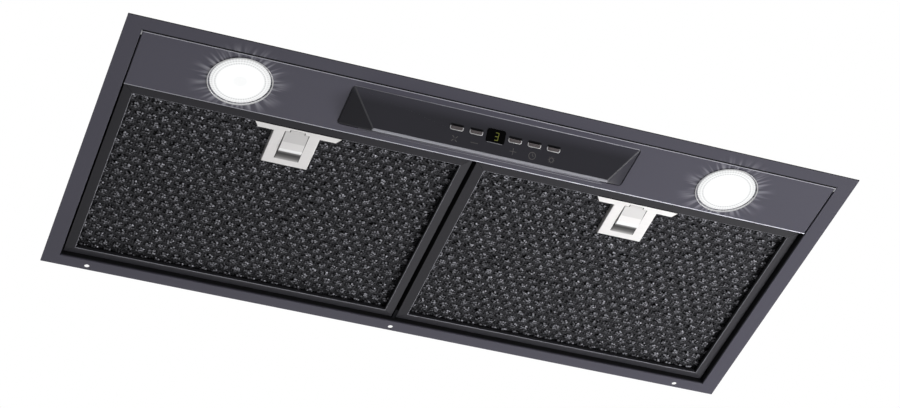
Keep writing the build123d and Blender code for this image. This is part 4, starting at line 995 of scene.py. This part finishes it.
class HOOD_OT_sheet_parts(bpy.types.Operator):
    """Round the edges of the visible sheet parts and mouldings"""

    bl_idname = "hood.sheet_parts"
    bl_label = "Sheet parts"

    def execute(self, context):
        edge_radius = context.scene.hood_mesh.edge_radius / MM
        soften_flange(edge_radius)
        soften_panel(edge_radius)
        soften_console()
        for side in SIDES:
            soften_filter_frame(side)
            soften_latch(side)
        draw_seam_light_and_shade()
        return {"FINISHED"}


FLANGE_FOLD = 0.4
CONSOLE_EDGE = 0.3
FRAME_EDGE = 0.3
HEM_FOLD = 0.5
PLATE_EDGE = 0.25
SLIDER_EDGE = 0.2


def soften_flange(radius):
    """Rounds the flange: a painted highlight on the folds of its aperture, painted shade on
    its outer walls and on the wall at the front of its aperture.
    """

    def aperture(*ends):
        return all(
            abs(end[2] - PANEL_FACE) < 0.02
            and abs(end[0]) < FLANGE_HIGH[0] - 2
            and abs(end[1]) < FLANGE_HIGH[1] - 2
            for end in ends
        )

    def outer_wall_shade(middle, normal):
        x, y = abs(middle[:, 0]), abs(middle[:, 1])
        outer = (x > FLANGE_HIGH[0] - 0.6) | (y > FLANGE_HIGH[1] - 0.6)
        front = (middle[:, 1] < PANEL_LOW[1] + 0.5) & (middle[:, 1] > FLANGE_LOW[1] + 2)
        return 2 * ((outer | front) & (abs(normal[:, 2]) < 0.98) & (middle[:, 2] < 1.5))

    soften(
        "trim_frame", "trim_paint", "hood", "trim_paint", radius, aperture, FLANGE_FOLD,
        ("trim_edge", "saddle_black"), outer_wall_shade,
    )


def soften_panel(radius):
    """Rounds the lamp panel: a painted highlight on its long folds, painted shade on its
    front wall.
    """

    def fold_highlight_and_wall_shade(middle, normal):
        y = middle[:, 1]
        near = np.minimum(abs(y - PANEL_LOW[1]), abs(y - PANEL_HIGH[1]))
        edge = (near < 1.2) & (middle[:, 2] < 0.2) & (abs(normal[:, 1]) > 0.1)
        wall = (y < PANEL_LOW[1] + 0.3) & (normal[:, 2] > -0.4)
        return np.where(wall, 2, edge)

    soften(
        "lamp_panel", "panel_paint", "hood", "trim_paint", radius,
        others=("trim_edge", "saddle_black"), tint=fold_highlight_and_wall_shade,
    )


def soften_console():
    """Rounds the console: a painted highlight along its crest, a dimmer one on its hips."""

    def crest_and_hip_highlights(middle, normal):
        crest = (middle[:, 2] < CONSOLE_LOW[2] + 1.6) & (normal[:, 2] < -0.75)
        hip = (abs(normal[:, 0]) > 0.12) & (abs(normal[:, 0]) < 0.62) & (normal[:, 1] < -0.2)
        return np.where(crest, 1, 2 * (hip & (middle[:, 2] < PANEL_FACE - 1)))

    soften(
        "console_shell", "console_plastic", "hood", "console_plastic", CONSOLE_EDGE,
        others=("console_edge", "console_hip"), tint=crest_and_hip_highlights,
    )


def soften_filter_frame(side):
    """Rounds a filter's frame, and more so the hem round its mesh, which carries a painted
    highlight.
    """
    body = side + "_filter"
    low, high = span(body + "_frame")
    rim = FRAME_BORDER - 1

    def hem(*ends):
        return all(
            end[2] < low[2] + 2.5
            and low[0] + rim < end[0] < high[0] - rim
            and low[1] + rim < end[1] < high[1] - rim
            for end in ends
        )

    soften(
        body + "_frame", "filter_paint", body, "filter_paint", FRAME_EDGE, hem, HEM_FOLD,
        ("filter_edge",),
    )


LATCH_WINDOW_HALF = 12.5
LATCH_GAP_HALF = 41.0


def soften_latch(side):
    """Rounds a latch's plate and slider, with painted shade on the plate's window walls and the
    slider's sides, and a black strip of painted shadow in the gap in front of the plate.
    """
    body = side + "_filter"
    low, high = span(side + "_latch_plate")
    across = (low[0] + high[0]) / 2

    # Painted shade on the walls of the plate's window.
    def window(middle, normal):
        x, y = abs(middle[:, 0] - across), middle[:, 1]
        inside = (x < LATCH_WINDOW_HALF) & (y < high[1] - 8) & (y > low[1] + 0.3)
        return inside & (abs(normal[:, 2]) < 0.5)

    # Painted shade on the slider's sides.
    def sides(middle, normal):
        return (abs(normal[:, 0]) > 0.9) & (abs(middle[:, 2] - LATCH_FACE - 1) < 1)

    soften(
        side + "_latch_plate", "latch_steel", body, "latch_steel", PLATE_EDGE,
        others=("steel_side",), tint=window, move=set_back,
    )
    # Painted shadow: a black strip in the gap in front of the plate.
    gap = block(
        (across - LATCH_GAP_HALF, low[1] - 0.9, span(body + "_frame")[0][2] - 0.05),
        (across + LATCH_GAP_HALF, low[1] + 0.05, LATCH_FACE + 0.3),
    )
    add_piece(side + "_latch_gap", gap, "saddle_black", body, "filter_paint", (), False)
    soften(
        side + "_latch_slider", "slider_steel", side + "_latch", "latch_steel", SLIDER_EDGE,
        others=("steel_side",), tint=sides, move=longer_slider,
    )


def set_back(points):
    """Moves the front of a latch's slot, or of its slider, rearward by SLOT_SETBACK."""
    near = (abs(abs(points[:, 0]) - LATCH_X) < 12) & (points[:, 1] < SLIDER_FRONT + 3)
    points[:, 1] += np.where(near & (points[:, 2] < LATCH_FACE + 1.6), SLOT_SETBACK, 0)
    return points


def longer_slider(points):
    """Draws a slider's tail out to the rear and lowers its ramp.

    Only points outside the plate's face move. Their height over the face shrinks to
    SLIDER_FLATTER of it, and those behind the crest shift by SLIDER_LONGER times their
    share of the way from the tail's start to its end.
    """
    points = set_back(points)
    outside = points[:, 2] < LATCH_FACE + 0.05
    way = np.clip((points[:, 1] - SLIDER_TAIL) / (SLIDER_REAR - SLIDER_TAIL), 0, 1)
    points[:, 1] += np.where(outside, SLIDER_LONGER * way, 0)
    lower = LATCH_FACE + (points[:, 2] - LATCH_FACE) * SLIDER_FLATTER
    points[:, 2] = np.where(outside, lower, points[:, 2])
    return points


LIP_HALF = 137.0
LIP_RADIUS = 0.55
STEP_LINES = ((118.0, -94.6), (121.0, -92.3))
STEP_RADIUS = 0.45
HEM_RADIUS = 0.62
BAR_FOOT, BAR_HEIGHT = 0.3, 0.4


def draw_seam_light_and_shade():
    """Thin bars of painted highlight along the console's and the panel's joints, a black strip
    of painted shadow in the panel's front gap, and bright tabs for the light in the corner
    slits.
    """
    # Painted highlights: the console's front fold, two ribs at its rear, the panel's rear hem.
    lip = rounded_bar(LIP_HALF, SLOPE_START - LIP_RADIUS, LIP_RADIUS)
    steps = several(rounded_bar(half, y, STEP_RADIUS) for half, y in STEP_LINES)
    hem = rounded_bar(PANEL_HIGH[0], PANEL_HIGH[1] - HEM_RADIUS, HEM_RADIUS)
    # Painted shadow along the panel's front gap.
    seal = block(
        (PANEL_LOW[0] - 0.6, PANEL_LOW[1] - 1.9, PANEL_FACE - 0.02),
        (PANEL_HIGH[0] + 0.6, PANEL_LOW[1] - 0.15, PANEL_FACE + 0.4),
    )
    # Bright tabs standing in for the light through the front corner slits.
    tabs = several(corner_light_tab(side) for side in (-1, 1))
    add_piece("console_lip", lip, "console_edge", "hood", "console_plastic")
    add_piece("console_steps", steps, "console_step", "hood", "console_plastic")
    add_piece("panel_hem", hem, "hem_edge", "hood", "trim_paint")
    add_piece("front_gap_shadow", seal, "saddle_black", "hood", "trim_paint", (), False)
    add_piece("corner_light_tabs", tabs, "spring_steel", "hood", "zinc_sheet", (), False)


def along_x(y, z, x):
    """Points of a profile in Y and Z, carried to one x."""
    return np.stack([np.full_like(y, x), y, z], -1)


def rounded_bar(half, y, radius):
    """A rounded fold along X from -half to half.

    Its profile is half an ellipse round y, radius to each side and BAR_HEIGHT high, with
    its foot BAR_FOOT inside the panel's face.
    """
    turn = np.linspace(0, math.pi, 9)
    z = PANEL_FACE + BAR_FOOT - BAR_HEIGHT * np.sin(turn)
    return prism(np.stack([y + radius * np.cos(turn), z], -1), -half, half, along_x)


def block(low, high):
    """A closed box between two corners."""
    corner = np.array([[x, y, z] for x in (0, 1) for y in (0, 1) for z in (0, 1)])
    sides = [[0, 1, 3, 2], [4, 6, 7, 5], [0, 4, 5, 1], [2, 3, 7, 6], [0, 2, 6, 4], [1, 5, 7, 3]]
    return np.asarray(low) + corner * (np.asarray(high) - np.asarray(low)), sides


def corner_light_tab(side):
    """Bright steel tab in the slit at a front corner, standing in for the light that shows
    through it.
    """
    x = sorted(side * (PANEL_HIGH[0] + reach) for reach in (0.1, 1.1))
    y = PANEL_LOW[1]
    return block((x[0], y - 0.9, -0.8), (x[1], y + 4.6, 0.4))


class HOOD_OT_lamps(bpy.types.Operator):
    """Make the lamps' bright rings and ribbed diffusers"""

    bl_idname = "hood.lamps"
    bl_label = "Lamps"

    def execute(self, context):
        for name, surface, finish, slot, replaces in (
            ("lamp_faces", lamp_face, "lamp_diffuser", "lamp_diffuser", ("lamp_lenses",)),
            ("lamp_rims", lamp_rim, "lamp_chrome", "lamp_chrome", ("lamp_rings",)),
            # Painted shade: a black ring in the gap round each diffuser.
            ("lamp_gap_shades", lamp_gap_shade, "saddle_black", "lamp_chrome", ()),
        ):
            pair = several(surface(x, LAMP_Y) for x in (-LAMP_X, LAMP_X))
            add_piece(name, pair, finish, "hood", slot, replaces)
        return {"FINISHED"}


LENS_RIM = 27.2
LENS_NECK = 25.0
DISH_INNER, DISH_OUTER, DISH_DEPTH = 18.0, 21.0, 0.55
RIM_FALL_START, RIM_FALL = 24.6, 0.5
BEADS_START = 20.0
BEAD_PITCH = 1.9
BEAD_DEPTH = 0.28
RING_LIP = 1.15
RING_ROUND = 0.55
RING_BORE = 25.8
GAP_SHADE_FACE, GAP_SHADE_BACK = -0.62, -0.46


def lamp_face(x, y):
    """Diffuser: a dished disc with raised rings cut into beads near its rim.

    Along the radius the face falls back by DISH_DEPTH from DISH_OUTER to DISH_INNER and
    is flat inside, and it falls back by RIM_FALL in the last 2 mm before its rim. From
    BEADS_START outwards it carries half waves BEAD_PITCH apart, which BEADS waves round
    the circle cut into beads.
    """
    front = LENS_LOW[2]
    r = np.concatenate([np.linspace(0, 19, 14), np.linspace(19.4, LENS_RIM - 0.6, 48)])
    dish = DISH_DEPTH * np.clip((DISH_OUTER - r) / (DISH_OUTER - DISH_INNER), 0, 1)
    z = front + dish + RIM_FALL * np.clip((r - RIM_FALL_START) / 2.0, 0, 1)
    edge = [(LENS_RIM - 0.2, front + 0.7), (LENS_RIM, front + 0.9), (LENS_RIM, -0.6)]
    edge += [(LENS_NECK, -0.5), (LENS_NECK, LENS_HIGH[2]), (0.0, LENS_HIGH[2])]
    radii, heights = np.concatenate([np.stack([r, z]), np.array(edge).T], 1)
    on_face = (np.arange(len(radii)) < len(r))[:, None]

    def beads(radius, turn):
        wave = np.abs(np.sin(math.pi * (radius - BEADS_START) / BEAD_PITCH))
        cut = 0.7 + 0.3 * np.cos(BEADS * turn)
        return np.where(on_face & (radius > BEADS_START), BEAD_DEPTH * (1 - wave * cut), 0.0)

    return turned(radii, heights, x, y, relief=beads)


def lamp_rim(x, y):
    """Ring: a closed section, turned, of a half-round lip on the panel and a neck."""
    outer, inner = RING_RADIUS, RING_RADIUS - RING_LIP
    bend = np.linspace(0, math.pi, 9)
    lip_r = (outer + inner) / 2 + (outer - inner) / 2 * np.cos(bend)
    lip_z = RING_LOW[2] + RING_ROUND * (1 - np.sin(bend))
    section = [(outer, PANEL_FACE)] + list(zip(lip_r, lip_z))
    section += [(inner, -0.45), (RING_BORE, -0.3), (RING_BORE, RING_HIGH[2])]
    section += [(LENS_RIM, RING_HIGH[2]), (LENS_RIM, PANEL_FACE + 0.9), (outer, PANEL_FACE)]
    return turned(*np.array(section).T, x, y)


def lamp_gap_shade(x, y):
    """Black ring in the gap between a lamp's diffuser and its ring: painted shade of the gap."""
    inner = RING_RADIUS - RING_LIP
    section = [(LENS_RIM, GAP_SHADE_FACE), (inner, GAP_SHADE_FACE), (inner, GAP_SHADE_BACK)]
    section += [(LENS_RIM, GAP_SHADE_BACK), (LENS_RIM, GAP_SHADE_FACE)]
    return turned(*np.array(section).T, x, y)


class HOOD_OT_controls(bpy.types.Operator):
    """Make the buttons, their rims, the display and the signs on the console"""

    bl_idname = "hood.controls"
    bl_label = "Controls"

    def execute(self, context):
        caps = {name: place * BUTTON_PITCH for name, place in BUTTONS.items()}
        rims = several(button_rim(x) for x in caps.values())
        rims = add_piece(
            "button_rims", rims, "button_chrome", "hood", "button_chrome", ("button_bezels",)
        )
        darken_tops(rims)
        # Painted shadow: a black pill along the upper edge of each rim.
        top_shadows = several(slope_pill(x, TOP_SHADOW_ROW, TOP_SHADOW_SIZE, -0.1, 0.02) for x in caps.values())
        add_piece("button_top_shadows", top_shadows, "saddle_black", "hood", "console_plastic", (), False)
        glint = slope_pill(0, GLINT_ROW, GLINT_SIZE, 0.1, 0.2)
        add_piece("display_glint", glint, "console_edge", "hood", "display_glass", (), False)
        for name, x in caps.items():
            body = name + "_button"
            add_piece(body + "_face", button_face(x), "button_grey", body, "button_grey")
        digit = several(digit_three())
        add_piece("display_digit", digit, "digit_glow", "hood", "display_glass", (), False)
        signs = several(button_signs(caps))
        add_piece("button_signs", signs, "icon_ink", "hood", "button_grey", (), False)
        return {"FINISHED"}


RIM_SIZE = (13.0, 4.8, 1.9)
RIM_ROOT = -2.6
RIM_SHADE = 1.35
FACE_SIZE = (10.5, 2.3, 0.7)
FACE_RIB = 0.8
TOP_SHADOW_SIZE = (12.6, 1.3, 0.6)
TOP_SHADOW_ROW = -2.8
GLINT_SIZE = (15.0, 0.5, 0.2)
GLINT_ROW = 6.1


def pill(width, height, corner):
    """Outline of a rectangle with round corners, counter-clockwise."""
    turn = np.linspace(0, math.pi / 2, CORNER_POINTS)
    parts = []
    for quarter, (sx, sy) in enumerate(((1, 1), (-1, 1), (-1, -1), (1, -1))):
        centre = np.array([sx * (width / 2 - corner), sy * (height / 2 - corner)])
        angle = turn + quarter * math.pi / 2
        parts.append(centre + corner * np.stack([np.cos(angle), np.sin(angle)], -1))
    return np.concatenate(parts)


def slope_pill(x, down, size, low, high):
    """A round-cornered plate on the slope, its middle `down` below the buttons' row."""
    return prism(pill(*size) + [x, BUTTON_ROW + down], low, high, on_slope)


def button_rim(x):
    """Bright rim: a round-cornered loop whose section is a half round standing proud.

    The loop's outline shrinks and its height follows a half circle from the outer foot
    over the crest to the inner foot, then drops to the seat inside the slope.
    """
    width, height, corner = RIM_SIZE
    bend = np.linspace(0, math.pi, 7)
    inset = [*(0.5 - 0.5 * np.cos(bend)), 1.0, 0.02]
    out = [*(0.5 * np.sin(bend) - 0.05), RIM_ROOT, RIM_ROOT]
    rings = []
    for shrink, level in zip(inset, out):
        outline = pill(width - 2 * shrink, height - 2 * shrink, corner - 0.9 * min(shrink, 1.0))
        rings.append(on_slope(x + outline[:, 0], BUTTON_ROW + outline[:, 1], level))
    return np.concatenate(rings), grid_faces(len(rings), len(outline), True, True)


def darken_tops(rims):
    """Blackens the far side of the buttons' rims, which faces away from the light."""
    rims.data.materials.append(FINISHES["saddle_black"].material)
    middle = read(rims.data.polygons, "center", (-1, 3)) / MM
    down = (middle - [0, SLOPE_START, PANEL_FACE]) @ SLOPE_DOWN
    far = (down < BUTTON_ROW - RIM_SHADE).astype(np.int32)
    rims.data.polygons.foreach_set("material_index", far)


def button_face(x):
    """Pressed cap face: a pillow over the cap, with fine ribs across it.

    Its height falls with the fourth power of the way from the middle to the edge, and
    carries waves FACE_RIB apart.
    """
    outline = pill(*FACE_SIZE)
    share = np.array([1.0, 1.0, 0.97, 0.9, 0.75, 0.5, 0.25, 0.0])[:, None]
    level = 0.92 + 0.12 * (1 - share**4)
    level[0] = 0.5
    u, v = share * outline[:, 0], share * outline[:, 1]
    wave = 0.03 * np.cos(2 * math.pi * u / FACE_RIB) * (level > 0.93)
    points = on_slope(x + u, BUTTON_ROW + v, level + wave - 0.08)
    faces = grid_faces(len(share), len(outline), wrap_columns=True)
    return points, faces + [list(range(len(outline)))]


def digit_three():
    """Seven-segment 3 on the display, drawn as thin slanted strokes."""
    across, down, slant, stroke = 1.548, 3.384, 0.1, 0.55
    for u0, v0, u1, v1 in (
        (-1, -1, 1, -1), (1, -1, 1, 0), (-1, 0, 1, 0), (1, 0, 1, 1), (-1, 1, 1, 1)
    ):
        start, end = (u0 * across - v0 * slant, v0 * down), (u1 * across - v1 * slant, v1 * down)
        yield prism(bar(*start, *end, stroke) + [0.8, BUTTON_ROW], 0.15, 0.17, on_slope)


SIGN_ROW = 26.3
SIGN_STROKE = 0.5
SIGN_INK = (0.0, 0.03)


def button_signs(caps):
    """Plain signs under the buttons: blades, minus, plus, a clock and a lamp."""

    def strokes(name, *lines):
        for line in lines:
            yield prism(bar(*line, SIGN_STROKE) + [caps[name], SIGN_ROW], *SIGN_INK, on_slope)

    yield from strokes("minus", (-3.6, 0, 3.6, 0))
    yield from strokes("plus", (-3.2, 0, 3.2, 0), (0, -3.2, 0, 3.2))
    yield from strokes("timer", (0, 0, 0, -2.1), (0, 0, 1.7, 0))
    for name, outer, inner in (("timer", 3.5, 2.95), ("light", 2.3, 1.6)):
        yield ring_strip(caps[name], SIGN_ROW, outer, inner, *SIGN_INK, on_slope)
    rays = [(math.cos(t), math.sin(t)) for t in np.arange(8) * math.pi / 4]
    yield from strokes("light", *((2.7 * c, 2.7 * s, 3.2 * c, 3.2 * s) for c, s in rays))
    for quarter in range(4):
        turn = math.pi / 4 + quarter * math.pi / 2
        tip = np.array([math.cos(turn), math.sin(turn)])
        side = np.array([-tip[1], tip[0]])
        blade = [tip * 0.3, tip * 1.8 + side * 0.6, tip * 3.6 + side * 0.4, tip * 3.6 - side * 0.3]
        yield prism(np.array(blade) + [caps["fan"], SIGN_ROW], *SIGN_INK, on_slope)


# ---------------------------------------------------------------- stage


class HOOD_OT_stage(bpy.types.Operator):
    """Set up the camera, the floor, the lamps and the pale background"""

    bl_idname = "hood.stage"
    bl_label = "Stage"

    def execute(self, context):
        scene = context.scene
        scene.view_settings.view_transform = "Standard"
        make_camera(scene)
        make_floor(scene)
        make_lights(scene)
        make_world(scene)
        return {"FINISHED"}


def make_camera(scene):
    """Camera at the photograph's viewpoint: below the hood, in front and to its left."""
    data = bpy.data.cameras.new("camera")
    data.sensor_width = 36.0
    data.lens = 100.0
    data.clip_start, data.clip_end = 0.05, 60.0
    camera = bpy.data.objects.new("camera", data)
    seen = Matrix(
        (
            (0.9412853, -0.33598184, -0.03313876),
            (0.20281884, 0.64121196, -0.74007549),
            (0.2699009, 0.68990102, 0.67170685),
        )
    )
    turn = seen.transposed() @ Matrix(((1, 0, 0), (0, -1, 0), (0, 0, -1)))
    camera.matrix_world = Matrix.Translation((-0.6361, -1.6383, -1.5731)) @ turn.to_4x4()
    scene.collection.objects.link(camera)
    scene.camera = camera


FLOOR_LEVEL = -0.65
FLOOR_RADIUS = 12.0


def make_floor(scene):
    """Pale round floor that shows from above only, so it never hides the underside."""
    turn = np.linspace(0, 2 * math.pi, 64, endpoint=False)
    rim = [np.cos(turn) * FLOOR_RADIUS, np.sin(turn) * FLOOR_RADIUS, np.full(64, FLOOR_LEVEL)]
    mesh = bpy.data.meshes.new("floor")
    mesh.from_pydata(np.stack(rim, -1).tolist(), [], [list(range(64))])
    floor = bpy.data.objects.new("floor", mesh)
    scene.collection.objects.link(floor)
    finish = Finish("floor_paint", Roughness=0.8, Base_Color=(0.8, 0.8, 0.8))
    seen = finish.node("ShaderNodeLightPath")
    finish.feed(
        Emission_Color=finish.mix(seen, (0.0, 0.0, 0.0), (0.5, 0.5, 0.5)), Emission_Strength=1.0
    )
    shader = Field(finish, finish.shader.outputs[0])
    clear = finish.node("ShaderNodeBsdfTransparent")
    behind = finish.node("ShaderNodeNewGeometry", output="Backfacing")
    shown = finish.node("ShaderNodeMixShader", None, {0: behind, 1: shader, 2: clear})
    finish.plug(finish.tree.nodes["Material Output"].inputs[0], shown)
    mesh.materials.append(finish.material)
    floor.visible_shadow = False


def make_lights(scene):
    """Soft boxes: a key low on the right, weak ones at the front and rear, two above."""
    for name, place, size, power in (
        ("key", (1.15, 0.08, -0.93), 0.6, 31.0),
        ("fill", (-0.5, -1.5, -1.2), 1.2, 4.0),
        ("back", (0.5, 1.9, -1.25), 0.8, 5.0),
        ("over", (-0.7, -1.0, 2.3), 2.0, 30.0),
        ("rear", (0.9, 1.9, 1.3), 1.6, 16.0),
    ):
        data = bpy.data.lights.new(name, "AREA")
        data.size = size
        data.energy = power
        light = bpy.data.objects.new(name, data)
        aim = Vector((0, 0, 0.05)) - Vector(place)
        light.location = place
        light.rotation_mode = "QUATERNION"
        light.rotation_quaternion = aim.to_track_quat("-Z", "Y")
        light.visible_camera = False
        scene.collection.objects.link(light)


def make_world(scene):
    """Soft even light on the object, and plain white where the background shows."""
    world = bpy.data.worlds.new("studio")
    world.use_nodes = True
    scene.world = world
    nodes, links = world.node_tree.nodes, world.node_tree.links
    path = nodes.new("ShaderNodeLightPath")
    total = path.outputs["Is Camera Ray"]
    for name in ("Is Glossy Ray", "Is Transmission Ray"):
        either = nodes.new("ShaderNodeMath")
        either.operation = "MAXIMUM"
        links.new(total, either.inputs[0])
        links.new(path.outputs[name], either.inputs[1])
        total = either.outputs[0]
    level = nodes.new("ShaderNodeMapRange")
    level.inputs["To Min"].default_value = 0.3
    level.inputs["To Max"].default_value = 1.0
    links.new(total, level.inputs["Value"])
    backdrop = nodes["Background"]
    backdrop.inputs["Color"].default_value = (1.0, 1.0, 1.0, 1.0)
    links.new(level.outputs[0], backdrop.inputs["Strength"])


class HOOD_PT_panel(bpy.types.Panel):
    """Lists the hood's pieces, sizes and colours"""

    bl_idname = "HOOD_PT_panel"
    bl_label = "Range Hood Insert"
    bl_space_type = "VIEW_3D"
    bl_region_type = "UI"
    bl_category = "Range Hood"

    def draw(self, context):
        layout = self.layout
        for step in STEPS:
            layout.operator(step.bl_idname)
        for group in (context.scene.hood_mesh, context.scene.hood_tones):
            box = layout.box()
            for name in group.__annotations__:
                box.prop(group, name)


STEPS = (
    HOOD_OT_stage,
    HOOD_OT_finishes,
    HOOD_OT_sheet_parts,
    HOOD_OT_filter_mesh,
    HOOD_OT_lamps,
    HOOD_OT_controls,
)
CLASSES = (HoodTones, MeshSizes, *STEPS, HOOD_PT_panel)


def register():
    for cls in CLASSES:
        bpy.utils.register_class(cls)
    bpy.types.Scene.hood_tones = bpy.props.PointerProperty(type=HoodTones)
    bpy.types.Scene.hood_mesh = bpy.props.PointerProperty(type=MeshSizes)


def unregister():
    del bpy.types.Scene.hood_mesh
    del bpy.types.Scene.hood_tones
    for cls in reversed(CLASSES):
        bpy.utils.unregister_class(cls)


def main():
    """Registers the add-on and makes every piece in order."""
    register()
    bpy.ops.hood.stage()
    bpy.ops.hood.finishes()
    bpy.ops.hood.sheet_parts()
    bpy.ops.hood.filter_mesh()
    bpy.ops.hood.lamps()
    bpy.ops.hood.controls()


if __name__ == "__main__":
    main()
